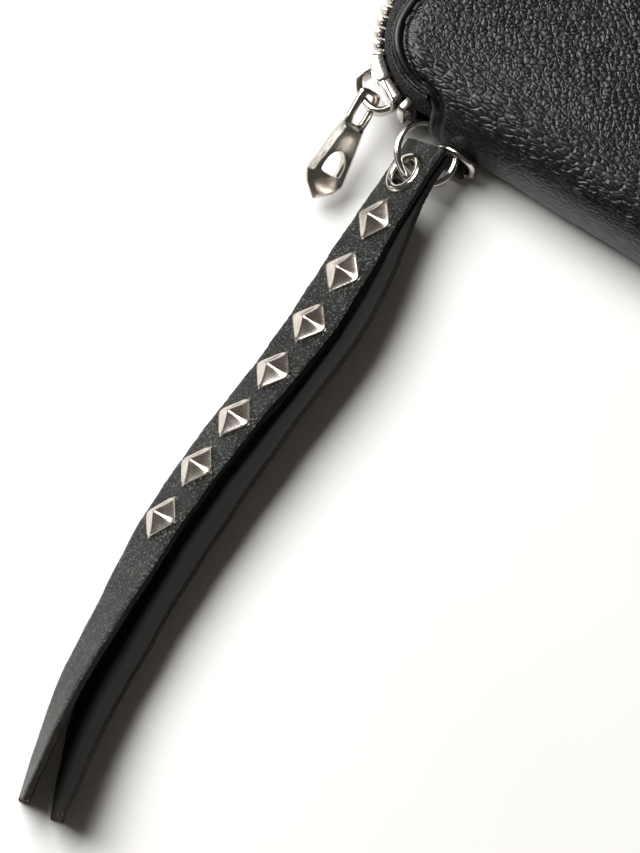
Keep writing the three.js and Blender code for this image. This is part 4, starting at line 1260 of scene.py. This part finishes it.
@dataclass
class Slider:
    """The slider on the corner's arc: flanges, plates, a post and the crown that holds the pull."""

    finishes: Finishes
    centre: tuple = (-81.0, -26.5)
    middle: float = np.radians(237)
    half: float = np.radians(15.5)
    crown_angle: float = np.radians(240)
    crown_half: float = 4.9
    crown_rise: float = 4.35
    outer: float = 23.4
    post_turn: float = np.radians(3.8)
    post_radius: float = 20.6
    pull_direction: tuple = (0.044, -0.96, -0.28)
    pull_roll: float = np.radians(45)
    eye_lift: float = 0.8
    eye_out: float = 2.0

    def sector(self, inner: float, outer: float, half: float, thickness: float, z: float,
               bevel: float, corner: float, turn: float = 0.0) -> Surface:
        """A flat ring sector with round corners: a rounded rectangle bent round the zip's corner.

        Args:
            inner: radius of the inner side.
            outer: radius of the outer side.
            half: half of the angle that it spans.
            thickness: its height along Z.
            z: the height of its middle.
            bevel: the width of its softened edges.
            corner: the radius of its corners.
            turn: how far its middle is turned from the slider's.

        Returns:
            The closed sector.
        """
        mean, wide = (inner + outer) / 2, (outer - inner) / 2

        def rim(inset: float) -> np.ndarray:
            """The outline at one inset."""
            shape = rounded_rectangle(half * mean - inset, wide - inset, max(corner - inset, 0.06))
            return (mean - shape[:, 1:]) * fan(self.middle + turn + shape[:, 0] / mean)

        made = plate([rim], thickness, bevel)
        made.points = made.points + [*self.centre, z]
        return made

    def crown(self) -> Surface:
        """The arch over the front plate: a flat band that is wider at its feet.

        Its height goes with a power of the sine below 1, which squares its shoulders.
        """
        turn = np.linspace(0, np.pi, 41)
        across = -self.crown_half * np.cos(turn)
        rise = self.crown_rise * np.sin(turn) ** 0.62
        out = np.array([*fan(self.crown_angle), 0])
        along = np.array([out[1], -out[0], 0])
        start = np.array([*self.centre, MID_Z]) + out * (self.outer - 0.1)
        path = start + across[:, None] * along + rise[:, None] * out
        wide = 1.05 + (1.3 - 0.7 * np.cos(turn)) * np.abs(np.cos(turn)) ** 0.9
        size = np.stack([np.full_like(wide, 0.85), wide], -1)
        return wire(path, (0, 0, 1), superellipse(1, 1, 0.5, 20)[None] * size[:, None])

    def body(self) -> Surface:
        """The flanges above and below, the plates before and behind the teeth, and the post."""
        half = self.half
        pieces = [
            self.sector(20.4, 23.5, half * 0.55, 0.85, MID_Z + 3.65, 0.25, 0.9, -half * 0.45),
            self.sector(20.4, 23.1, half * 0.5, 0.7, MID_Z + 3.2, 0.22, 0.9, half * 0.5),
            self.sector(20.4, 23.5, half, 0.75, MID_Z - 3.6, 0.22, 1.2),
            self.sector(22.5, 23.4, half, 7.6, MID_Z, 0.25, 0.4),
            self.sector(17.8, 18.7, half * 0.96, 6.2, MID_Z, 0.25, 0.4),
            self.crown(),
        ]
        out = np.array([*fan(self.middle + half - self.post_turn), 0])
        along = np.array([-out[1], out[0], 0])
        post = np.array([*self.centre, MID_Z]) + out * self.post_radius
        pieces.append(placed(block((5.0, 1.6, 0.5), 0.3), post, out, along))
        return joined(pieces)

    def pull_axes(self) -> tuple:
        """The pull's origin in its eye, and its directions across, down and out of its face."""
        down = unit(np.array(self.pull_direction))
        level = unit(np.array([1.0, 0, 0]) - down * down[0])
        upward = unit(np.cross(level, down))
        upward = upward if upward[2] > 0 else -upward
        face = upward * np.cos(self.pull_roll) + level * np.sin(self.pull_roll)
        across = np.cross(down, face)
        out = np.array([*fan(self.crown_angle), 0])
        origin = np.array([*self.centre, MID_Z + self.eye_lift]) + out * (self.outer + self.eye_out)
        return origin, across, down, face

    @staticmethod
    def finger_hole(half: float) -> np.ndarray:
        """A D on its side: an ellipse above, and below it a superellipse with a nearly straight foot."""
        c, s = fan(np.linspace(0, 2 * np.pi, 48, endpoint=False)).T
        power = np.where(s > 0, 0.35, 1.0)
        tall = np.where(s > 0, 0.6, 1.45) * half
        x = half * np.sign(c) * np.abs(c) ** power
        return np.stack([x, tall * np.sign(s) * np.abs(s) ** power], -1)

    def pull(self) -> Surface:
        """The pull: a thin eye with a slot, and a thick faceted blade with a finger hole and a point."""
        neck, shoulder, length = 8.8, 22.0, 27.0
        edge = np.array([
            [-3.1, neck - 0.6], [3.1, neck - 0.6], [3.9, 12.0], [5.5, shoulder], [3.9, 24.4],
            [0, length + 0.4], [-3.9, 24.4], [-5.5, shoulder], [-3.9, 12.0]])
        rims = [
            polygon_rim(edge, 0.35),
            lambda d: (self.finger_hole(2.55 + 0.35 * d) + [0, shoulder - 2.9])[::-1],
        ]
        blade = plate(rims, 2.8, 1.0, 1)
        eye = plate([
            lambda d: superellipse(3.1 - d, 5.2 - d, 0.45, 64) + [0, 4.6],
            lambda d: (superellipse(1.35 + d, 3.7 + d, 0.5, 40) + [0, 4.3])[::-1],
        ], 1.3, 0.35)
        origin, across, down, face = self.pull_axes()
        return placed(joined([blade, eye]), origin, across, down, face)

    def build(self) -> None:
        """Makes the slider and its pull."""
        nickel = self.finishes.zip_nickel
        body = make_piece("slider", self.body(), nickel, ("zip_slider",))
        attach(body, Body.SLIDER.value)
        pull = make_piece("pull", self.pull(), nickel, ("zip_pull",))
        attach(pull, Body.PULL.value)


# ---- Rings --------------------------------------------------------------------------------------

@dataclass
class RingHardware:
    """The leather tab, the D-ring in it and the split ring on the D-ring."""

    finishes: Finishes
    d_place: tuple = (-70.0, -49.6, 3.2)
    d_half: float = 4.4
    d_height: float = 8.6
    d_wire: float = 0.84
    ring_place: tuple = (-76.0, -52.6, 9.6)
    ring_radius: float = 7.1
    ring_pitch: float = 1.16
    ring_turns: float = 1.94
    ring_wire: tuple = (0.6, 0.52)
    ring_tilt: float = np.radians(24)
    tab_radius: float = 1.5
    tab_end_y: float = -43.6

    def d_ring(self) -> Surface:
        """A round wire bent to a D: a superellipse, nearly square below and round above."""
        c, s = fan(np.linspace(-np.pi / 2, 1.5 * np.pi, 160, endpoint=False)).T
        bow, half = s > 0, self.d_height / 2
        x = self.d_half * np.sign(c) * np.abs(c) ** np.where(bow, 0.75, 0.28)
        z = half * np.sign(s) * np.abs(s) ** np.where(bow, 1.0, 0.28)
        path = np.stack([x, np.zeros_like(x), z + half], -1) + np.array(self.d_place)
        return wire(path, (0, 1, 0), superellipse(self.d_wire, self.d_wire, 1, 16), True)

    def split_ring(self) -> Surface:
        """Two turns of squarish wire: a flat helix about the tilted axis, with tapered ends."""
        t = np.linspace(0, 1, 320)
        angle = 2 * np.pi * (self.ring_turns * t + 0.3)
        rise = self.ring_pitch * self.ring_turns * (t - 0.5)
        flat = self.ring_radius * np.cos(angle)
        c, s = fan(self.ring_tilt)
        path = np.stack([flat * c + rise * s, self.ring_radius * np.sin(angle), -flat * s + rise * c], -1)
        ends = np.minimum(smoothstep(t, -0.002, 0.02), 1 - smoothstep(t, 0.98, 1.002))
        size = 0.45 + 0.55 * ends
        section = superellipse(*self.ring_wire, 0.7, 16)[None] * size[:, None, None]
        return wire(path + np.array(self.ring_place), (s, 0, c), section)

    def tab(self) -> Surface:
        """A leather strip that comes out of the spine's seam and wraps round the D-ring's bar."""
        x, y, z = self.d_place
        loop = [y, z] + self.tab_radius * fan(np.radians(np.linspace(90, 395, 30)))
        tail_y = np.linspace(self.tab_end_y, y + 0.1, 8)[:-1]
        tail = np.stack([tail_y, np.full(len(tail_y), z + self.tab_radius)], -1)
        line = np.concatenate([tail, loop])
        path = np.stack([np.full(len(line), x), line[:, 0], line[:, 1]], -1)
        return wire(path, (1, 0, 0), superellipse(0.36, 2.95, 0.35, 20))

    def build(self) -> None:
        """Makes the tab and the two rings."""
        tab = make_piece("tab", self.tab(), self.finishes.lining, ("ring_tab",))
        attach(tab, Body.ROOT.value)
        nickel = self.finishes.ring_nickel
        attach(make_piece("dee", self.d_ring(), nickel, ("d_ring",)), Body.D_RING.value)
        ring = make_piece("key_ring", self.split_ring(), nickel, ("split_ring",))
        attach(ring, Body.SPLIT_RING.value)


# ---- The strap ----------------------------------------------------------------------------------

@dataclass
class Strip:
    """The line of one strip of leather: stations of X, Y, Z and the angle that it stands at."""

    stations: tuple

    def spline(self, values: np.ndarray, share: np.ndarray) -> np.ndarray:
        """A centripetal Catmull-Rom curve through the values: its knots' steps are roots of the gaps.

        Args:
            values: the values that it passes through (n, k).
            share: places along it, 0 at the first value and 1 at the last.

        Returns:
            The curve's values at the places.
        """
        ends = np.concatenate([[2 * values[0] - values[1]], values, [2 * values[-1] - values[-2]]])
        at = np.clip(share * (len(values) - 1), 0, len(values) - 1 - 1e-9)
        index = at.astype(int)
        w = (at - index)[:, None]
        p0, p1, p2, p3 = (ends[index + k] for k in range(4))
        pairs = ((p0, p1), (p1, p2), (p2, p3))
        steps = [np.sum((b - a) ** 2, -1, keepdims=True) ** 0.25 for a, b in pairs]
        d1 = np.where(steps[1] < 1e-4, 1.0, steps[1])
        d0 = np.where(steps[0] < 1e-4, d1, steps[0])
        d2 = np.where(steps[2] < 1e-4, d1, steps[2])
        t1 = ((p1 - p0) / d0 - (p2 - p0) / (d0 + d1) + (p2 - p1) / d1) * d1
        t2 = ((p2 - p1) / d1 - (p3 - p1) / (d1 + d2) + (p3 - p2) / d2) * d1
        cubic = 2 * p1 - 2 * p2 + t1 + t2
        square = -3 * p1 + 3 * p2 - 2 * t1 - t2
        return p1 + t1 * w + square * w ** 2 + cubic * w ** 3

    def frames(self, share: np.ndarray) -> tuple:
        """The strip's middle line and its axes.

        Args:
            share: places along it, 0 at the top and 1 at the free end.

        Returns:
            The centres and the directions across, along and out of the face.
        """
        table = np.array(self.stations, float)
        step = 1e-4
        low, high = np.clip(share - step, 0, 1), np.clip(share + step, 0, 1)
        centre = self.spline(table[:, :3], share)
        along = unit(self.spline(table[:, :3], high) - self.spline(table[:, :3], low))
        roll = np.radians(self.spline(table[:, 3:], share))
        level = unit(np.stack([-along[:, 1], along[:, 0], np.zeros(len(along))], -1))
        upward = unit(np.cross(along, level))
        upward *= np.sign(upward[:, 2:])
        across = level * np.cos(roll) + upward * np.sin(roll)
        face = unit(np.cross(along, across))
        face *= np.sign(face[:, 2:])
        return centre, across, along, face

    def share_at(self, y: float) -> float:
        """The share of the length at which the strip reaches a Y."""
        share = np.linspace(0, 1, 4001)
        ys = self.spline(np.array(self.stations, float)[:, :3], share)[:, 1]
        return float(np.interp(-y, -ys, share))


@dataclass
class Strap:
    """The strap: two strips clenched together by an eyelet, with a row of pyramid studs."""

    finishes: Finishes
    width: float = 13.6
    thick: float = 1.9
    hole: float = 3.68
    eyelet_y: float = -59.7
    first_stud_y: float = -72.0
    stud_pitch: float = 13.9
    studs: int = 7
    front: Strip = field(default_factory=lambda: Strip((
        (-76.6, -51.3, 11.1, 45), (-76.7, -59.7, 10.3, 44), (-76.6, -72, 8.2, 38), (-76.2, -86, 6.2, 33),
        (-76.1, -100, 4.9, 33), (-76.6, -114, 5.2, 37), (-77.6, -128, 5.5, 40), (-78.3, -142, 5.6, 42),
        (-78.2, -156, 5.8, 45), (-77.2, -170, 6.1, 50), (-76, -184, 6.5, 57), (-74.4, -198, 6.8, 64),
        (-71.4, -212, 7, 72), (-68.4, -224, 7, 79))))
    back: Strip = field(default_factory=lambda: Strip((
        (-75.1, -51.3, 9.5, 45), (-75.2, -59.7, 8.7, 44), (-74.8, -65.3, 7.95, 43.5),
        (-72.3, -74, 7.3, 50), (-69, -86, 6.9, 59), (-67.7, -100, 6.8, 62), (-68.2, -114, 6.8, 61),
        (-69.2, -128, 6.6, 57), (-70.1, -142, 6.3, 52), (-70.2, -156, 6.1, 48), (-70, -170, 5.9, 45),
        (-69.2, -184, 5.8, 43), (-67.4, -198, 6.2, 48), (-63.9, -211, 6.9, 62), (-59.9, -223.5, 7.1, 74))))

    def strip(self, line: Strip, grain_up: bool, seed: int) -> Surface:
        """One strip: a thin rectangle of many points carried along its line, ragged at its cut edges.

        Args:
            line: the strip's line.
            grain_up: whether the smooth side faces the front.
            seed: seeds the raggedness.

        Returns:
            The closed strip with its cut, flesh and tip marks.
        """
        rows, flat, side = 420, 27, 6
        share = np.linspace(0, 1, rows)
        centre, across, along, face = line.frames(share)
        run = run_along(centre)
        u = np.linspace(-1, 1, flat)
        v = np.linspace(1, -1, side + 2)[1:-1]
        outline = np.concatenate([
            np.stack([u, np.ones(flat)], -1), np.stack([np.ones(side), v], -1),
            np.stack([u[::-1], -np.ones(flat)], -1), np.stack([-np.ones(side), v[::-1]], -1)])
        cut = np.concatenate([np.zeros(flat), np.ones(side), np.zeros(flat), np.ones(side)])
        lower = np.concatenate([np.zeros(flat + side), np.ones(flat), np.zeros(side)])
        reach = self.width / 2 + np.where(
            outline[None, :, 0] > 0,
            wobble(run, (41, 17, 6.3, 2.1, 0.9), (0.12, 0.1, 0.05, 0.04, 0.03), seed)[:, None],
            wobble(run, (37, 13, 5.1, 1.9, 0.8), (0.12, 0.1, 0.05, 0.04, 0.03), seed + 1)[:, None])
        grit = np.random.default_rng(seed).normal(0, 0.035, (rows, len(outline))) * cut
        soft = 0.4 * smoothstep(np.abs(outline[:, 0]), 0.88, 1.0) * (1 - cut)
        puff = 0.12 * (1 - outline[:, 0] ** 4)
        x = outline[None, :, 0] * reach + np.sign(outline[None, :, 0]) * grit
        wave = wobble(run, (53, 29, 11), (0.07, 0.05, 0.03), seed + 2)[:, None]
        z = outline[None, :, 1] * (self.thick / 2 - 0.1 - soft + puff) + wave * outline[None, :, 0]
        end = smoothstep(run, run[-1] - 7, run[-1])[:, None] ** 2
        slant = wobble(x, (9.0, 3.4, 1.3), (0.45, 0.35, 0.2), seed + 3) + 0.09 * x - 0.7
        points = centre[:, None] + x[..., None] * across[:, None] + z[..., None] * face[:, None]
        points = points + (end * slant)[..., None] * along[:, None]
        m = len(outline)
        faces = [grid_faces(rows, m, False, True)]
        ring = np.arange(m)
        faces += [ring[None, ::-1], ring[None] + (rows - 1) * m]
        fleshy = lower if grain_up else 1 - lower - cut
        tip = smoothstep(run, run[-1] - 3, run[-1] - 0.5)
        marks = {
            "cut": np.broadcast_to(cut, (rows, m)).copy(),
            "flesh": np.broadcast_to(fleshy, (rows, m)).copy(),
            "tip": np.broadcast_to(tip[:, None], (rows, m)).copy(),
        }
        marks["cut"][[0, -1]] = 1
        return Surface(points.reshape(-1, 3), faces, None, {k: value.ravel() for k, value in marks.items()})

    def at_front(self, y: float) -> tuple:
        """The place and axes on the front strip where it reaches a Y."""
        centre, across, _, face = self.front.frames(np.array([self.front.share_at(y)]))
        return centre[0], across[0], np.cross(face[0], across[0]), face[0]

    def lathe(self, profile: np.ndarray, sides: int = 72) -> Surface:
        """A closed profile turned about the eyelet's axis.

        Args:
            profile: radius and height of each of its points.
            sides: how many times it is set round the axis.

        Returns:
            The closed ring.
        """
        spoke = fan(np.linspace(0, 2 * np.pi, sides, endpoint=False))
        rows = profile[None, :, :1] * spoke[:, None]
        points = np.concatenate([rows, np.broadcast_to(profile[None, :, 1:], rows.shape[:2] + (1,))], -1)
        faces = grid_faces(sides, len(profile), True, True)
        centre, x, y, z = self.at_front(self.eyelet_y)
        return placed(Surface(points.reshape(-1, 3), [faces]), centre, x, y, z)

    def eyelet(self) -> tuple[Surface, Surface]:
        """The barrel, whose flange rolls over in half a torus, and the washer behind the strap."""
        seat = self.thick / 2 + 0.05
        foot = -(1.5 * self.thick + 0.75)
        roll = np.radians(np.linspace(-10, 195, 22))
        crest = np.stack([4.15 + 1.0 * np.cos(roll), seat + 0.1 + 0.8 * np.sin(roll)], -1)
        barrel = np.concatenate([[[3.62, seat]], crest, [[3.18, foot + 0.3], [3.3, foot], [3.6, foot]]])
        washer = np.array([[3.8, 0.1], [4.9, 0.1], [5.0, 0.3], [4.9, 0.52], [3.8, 0.52]]) + [0, foot]
        return self.lathe(barrel), self.lathe(washer)

    def stud(self) -> Surface:
        """A pyramid stud whose height falls with a p-norm of both distances from its middle.

        A high power makes the faces nearly flat and leaves a narrow round on the ridges; the root of
        the norm's square plus a little rounds the point. The faces hollow slightly, and a thin rim
        runs round the foot.
        """
        half, rim, height, count = 4.0, 0.55, 3.3, 41
        line = np.linspace(-1, 1, count)
        line = np.sign(line) * np.abs(line) ** 0.85
        u, v = np.meshgrid(line, line, indexing="ij")
        power = 7.0
        far = (np.abs(u) ** power + np.abs(v) ** power) ** (1 / power)
        far = np.clip(np.sqrt(far ** 2 + 0.005) - 0.03, 0, 1)
        slope = np.clip((0.93 - far) / 0.93, 0, 1)
        z = rim + (height - rim) * slope ** 1.3
        z = np.where(far > 0.985, rim * 0.45, z)
        top = np.stack([u * half, v * half, z], -1).reshape(-1, 3)
        base = np.stack([u * half, v * half, np.zeros_like(u)], -1).reshape(-1, 3)
        faces = grid_faces(count, count)
        index = np.arange(count * count).reshape(count, count)
        border = np.concatenate([index[0], index[1:, -1], index[-1, -2::-1], index[-2:0:-1, 0]])
        ahead = np.roll(border, -1)
        wall = np.stack([border, ahead, ahead + count * count, border + count * count], -1)
        return Surface(np.concatenate([top, base]), [faces, faces[:, ::-1] + count * count, wall[:, ::-1]])

    def build(self) -> None:
        """Makes the strips with their hole, the eyelet and the studs."""
        body = Body.STRAP.value
        centre, x, y, z = self.at_front(self.eyelet_y)
        bore = plate([lambda d: superellipse(self.hole - d, self.hole - d, 1, 48)], 16, 0.01, 1)
        hole = placed(bore, centre, x, y, z)
        for name, line, grain_up, seed, node in (
                ("front_strip", self.front, True, 11, "strap_front"),
                ("back_strip", self.back, False, 29, "strap_back")):
            shape = self.strip(line, grain_up, seed)
            piece = make_piece(name, shape, self.finishes.strap, (node,))
            cut_away(piece, hole)
            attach(piece, body)
        barrel, washer = self.eyelet()
        for name, shape, node in (("eyelet", barrel, "eyelet_barrel"), ("washer", washer, "eyelet_washer")):
            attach(make_piece(name, shape, self.finishes.ring_nickel, (node,)), body)
        for number in range(self.studs):
            centre, x, y, z = self.at_front(self.first_stud_y - number * self.stud_pitch)
            diagonal, square = unit(x + y), unit(y - x)
            shape = placed(self.stud(), centre + z * (self.thick / 2 + 0.02), diagonal, square, z)
            name, node = f"pyramid_{number + 1}", f"stud_{number + 1}"
            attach(make_piece(name, shape, self.finishes.stud_nickel, (node,)), body)


# ---- The inside ---------------------------------------------------------------------------------

@dataclass
class Inside:
    """Linings, card slots, gussets and the zipped coin pocket."""

    finishes: Finishes
    slot_half_x: float = 86.0
    seam_y: float = 27.3
    zip_y: float = 32.5

    def panel(self, half_x: float, low_y: float, high_y: float, z: float, thick: float,
              bead: float = 0.0) -> Surface:
        """A thin sheet carried along X, with round edges and a folded bead at its free edge.

        Args:
            half_x: half its length along X.
            low_y: its lower edge.
            high_y: its upper, free edge.
            z: the height of its middle.
            thick: its thickness.
            bead: how much thicker it is along the free edge.

        Returns:
            The closed sheet.
        """
        y = np.linspace(low_y, high_y, 40)
        hem = bead * smoothstep(y, high_y - 4.5, high_y - 3.9) * (1 - smoothstep(y, high_y - 0.25, high_y))
        from_middle = (y - (low_y + high_y) / 2) / ((high_y - low_y) / 2)
        half = thick / 2 * np.sqrt(np.clip(1 - from_middle ** 40, 0, 1))
        top = np.stack([y, half + hem], -1)
        low = np.stack([y[::-1], -half[::-1]], -1)[1:-1]
        section = np.concatenate([top, low])
        x = np.linspace(-half_x, half_x, 90)
        path = np.stack([x, np.zeros_like(x), np.full_like(x, z)], -1)
        return tube(path, still((0, 1, 0), path), still((0, 0, 1), path), section)

    def seam(self, half_x: float, y: float, z: float) -> Surface:
        """A row of stitches along X."""
        return self.row_of(block((2.2, 0.4, 0.28), 0.8, 5, 8), np.arange(-half_x, half_x, 3.2), y, z)

    @staticmethod
    def row_of(shape: Surface, x: np.ndarray, y: float, z: float) -> Surface:
        """Copies of a shape at places along X."""
        origin = np.stack([x, np.full_like(x, y), np.full_like(x, z)], -1)
        return repeated(shape, origin, *[still(axis, origin) for axis in np.eye(3)])

    @staticmethod
    def mirrored(surface: Surface) -> Surface:
        """The upper half's twin of a piece of the lower half."""
        points = surface.points * [1, 1, -1] + [0, 0, THICKNESS]
        return Surface(points, surface.faces, surface.uv, surface.marks)

    def slots(self) -> None:
        """Four stepped card slots in each half, with a folded and stitched free edge."""
        for half, body in (("lower", Body.ROOT), ("upper", Body.TOP)):
            threads = []
            for number in range(4):
                node = f"{half}_card_slot_{number + 1}"
                low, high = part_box(node)
                z = 3.8 + 0.8 * number + 0.25
                shape = self.panel(self.slot_half_x, low.y / MM, high.y / MM, z, 0.5, 0.16)
                stitches = self.seam(self.slot_half_x - 1, high.y / MM - 3.9, z + 0.36)
                if half == "upper":
                    shape, stitches = self.mirrored(shape), self.mirrored(stitches)
                threads.append(stitches)
                name = f"{half}_slot_{number + 1}"
                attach(make_piece(name, shape, self.finishes.lining, (node,)), body.value)
            name = f"{half}_slot_stitches"
            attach(make_piece(name, joined(threads), self.finishes.thread), body.value)

    def gussets(self) -> None:
        """Two folded end sheets between the halves, pleated like a bellows."""
        fold = np.array([
            [-92, 4.0], [-91.6, 6.6], [-84, 8.6], [-81.6, 9.6], [-84, 10.6], [-91, 12.2], [-92, 12.5],
            [-91, 12.8], [-84, 14.4], [-81.6, 15.4], [-84, 16.4], [-91.6, 18.4], [-92, 21.0]])
        line = eased(between(np.linspace(0, 1, 80), np.linspace(0, 1, len(fold)), fold), 4)
        tangent = unit(np.gradient(line, axis=0))
        normal = np.stack([-tangent[:, 1], tangent[:, 0]], -1) * 0.22
        section = np.concatenate([line + normal, (line - normal)[::-1]])
        y = np.linspace(-38, 24, 40)
        path = np.stack([np.zeros_like(y), y, np.zeros_like(y)], -1)
        for side, name in ((1, "left"), (-1, "right")):
            shape = tube(path, still((1, 0, 0), path), still((0, 0, 1), path), section)
            shape.faces = shape.faces[:1] + strip_caps(len(section), len(y))
            shape.points = shape.points * [side, 1, 1]
            node = f"{name}_gusset"
            piece = make_piece(f"{name}_bellows", shape, self.finishes.lining, (node,))
            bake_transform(piece)

    def coin_pocket(self) -> None:
        """Two walls with a seam between them, and the coin zip with its slider and pull."""
        body, leather = Body.COIN.value, self.finishes.lining
        for name, high, z in (("coin_front", 38.0, 11.3), ("coin_back", self.seam_y, 13.7)):
            shape = self.panel(76, -41, high, z, 0.6)
            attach(make_piece(name, shape, leather, (f"{name}_wall",)), body)
        threads = joined([self.seam(73, self.seam_y - 1.2, 14.02), self.seam(73, -39.8, 14.02)])
        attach(make_piece("coin_stitches", threads, self.finishes.thread), body)
        dress("coin_seam", leather)
        for name, side in (("near", -1), ("far", 1)):
            low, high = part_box(f"coin_tape_{name}")
            shape = self.panel(75, low.y / MM, high.y / MM, 13.65, 0.45)
            node = f"coin_tape_{name}"
            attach(make_piece(f"coin_{name}_tape", shape, self.finishes.tape, (node,)), body)
            x = np.arange(-72, 72.1, 1.9) + side * 0.475
            tooth = block((0.95, 1.5, 1.0), 0.45, 5, 8)
            row = self.row_of(tooth, x[np.abs(x) <= 72], self.zip_y + side * 1.02, 14.7)
            node = f"coin_teeth_{name}"
            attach(make_piece(f"coin_{name}_row", row, self.finishes.zip_nickel, (node,)), body)
        self.coin_slider()

    def coin_slider(self) -> None:
        """A small slider of two plates on a post, and its flat pull with a hole."""
        nickel = self.finishes.zip_nickel
        x, y = -66.0, self.zip_y
        rim = [lambda d: superellipse(4.0 - d, 2.6 - d, 0.6, 48) + [x, y]]
        top = plate(rim, 0.75, 0.25)
        top.points = top.points + [0, 0, 15.9]
        low = plate(rim, 0.55, 0.2)
        low.points = low.points + [0, 0, 12.5]
        post = placed(block((1.3, 0.4, 3.4), 0.4), np.array([x + 2.7, y, 14.1]), *np.eye(3))
        lug = placed(block((2.6, 1.3, 0.9), 0.5), np.array([x + 1.6, y, 16.35]), *np.eye(3))
        body = make_piece("coin_runner", joined([top, low, post, lug]), nickel,
                          ("coin_slider",))
        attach(body, Body.COIN_SLIDER.value)
        tag = plate([
            lambda d: superellipse(7.0 - d, 2.3 - d, 0.55, 64) + [-56, y],
            lambda d: (superellipse(1.3 + d, 1.1 + d, 1, 24) + [-51.5, y])[::-1],
        ], 0.85, 0.25)
        tag.points = tag.points + [0, 0, 17.05]
        piece = make_piece("coin_tag", tag, nickel, ("coin_pull",))
        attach(piece, Body.COIN_SLIDER.value)

    def build(self) -> None:
        """Dresses the linings and makes everything between them."""
        for node in ("lower_lining", "upper_lining"):
            dress(node, self.finishes.fabric)
        self.slots()
        self.gussets()
        self.coin_pocket()


def dress(node: str, material: bpy.types.Material) -> None:
    """Gives a CAD node its finish."""
    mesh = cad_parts[node].data
    mesh.materials.clear()
    mesh.materials.append(material)


# ---- The studio ---------------------------------------------------------------------------------

@dataclass
class Studio:
    """A pale floor, soft light from the left, and a camera looking steeply down."""

    azimuth: float = np.radians(33.4)
    elevation: float = np.radians(75.0)
    distance: float = 650.0
    target: tuple = (-62.29, -117.37, 0.0)
    lens: float = 122.07

    def back(self) -> np.ndarray:
        """The direction from the target to the camera."""
        a, e = self.azimuth, self.elevation
        return np.array([np.sin(a) * np.cos(e), -np.cos(a) * np.cos(e), np.sin(e)])

    def camera(self) -> None:
        """Places the camera and makes it the scene's."""
        data = bpy.data.cameras.new("camera")
        data.lens = self.lens
        data.sensor_width = 36.0
        data.clip_end = 20.0
        camera = bpy.data.objects.new("camera", data)
        camera.location = Vector((np.array(self.target) + self.back() * self.distance) * MM)
        camera.rotation_euler = Vector(-self.back()).to_track_quat("-Z", "Y").to_euler()
        bpy.context.scene.collection.objects.link(camera)
        bpy.context.scene.camera = camera

    def lamp(self, name: str, place: tuple, size: float, power: float, color: tuple = (1, 1, 1)) -> None:
        """A square soft light that looks at the target.

        Args:
            name: the lamp's name.
            place: where it hangs, in metres.
            size: its side, in metres.
            power: its watts.
            color: its red, green and blue.
        """
        data = bpy.data.lights.new(name, "AREA")
        data.size, data.energy, data.color = size, power, color
        lamp = bpy.data.objects.new(name, data)
        lamp.location = place
        aim = Vector(self.target) * MM - Vector(place)
        lamp.rotation_euler = aim.to_track_quat("-Z", "Y").to_euler()
        bpy.context.scene.collection.objects.link(lamp)

    def floor(self) -> None:
        """A wide pale sheet just under the wallet."""
        bench = Bench("pale_floor")
        tone = bench.mix(bench.noise(60, 2), (0.86, 0.86, 0.855, 1), (0.9, 0.9, 0.895, 1))
        material = bench.finish(Base_Color=tone, Roughness=0.7)
        mesh = bpy.data.meshes.new("floor")
        reach = 4.0
        corners = [(-reach, -reach, 0), (reach, -reach, 0), (reach, reach, 0), (-reach, reach, 0)]
        mesh.from_pydata(corners, [], [(0, 1, 2, 3)])
        mesh.materials.append(material)
        floor = bpy.data.objects.new("floor", mesh)
        floor.location.z = CAD_BOX[0][2] - 0.0001
        bpy.context.scene.collection.objects.link(floor)

    def world(self) -> None:
        """A dim warm surround."""
        world = bpy.data.worlds.new("surround")
        world.use_nodes = True
        world.node_tree.nodes["Background"].inputs[0].default_value = (1.0, 0.88, 0.76, 1)
        world.node_tree.nodes["Background"].inputs[1].default_value = 0.07
        bpy.context.scene.world = world

    def build(self) -> None:
        """Sets the whole studio."""
        self.world()
        self.floor()
        self.camera()
        self.lamp("key", (-0.95, 0.04, 1.3), 1.1, 40.0, (1.0, 0.99, 0.975))
        bpy.context.scene.view_settings.view_transform = "Standard"


def main() -> None:
    """Builds the studio and every sub-assembly in order."""
    logging.basicConfig(level=logging.INFO, format="%(name)s %(message)s")
    Studio().build()
    finishes = Finishes()
    for part in (OuterLeather, Zip, Slider, RingHardware, Strap, Inside):
        part(finishes).build()
        LOG.info("%s built", part.__name__)


if __name__ == "__main__":
    main()
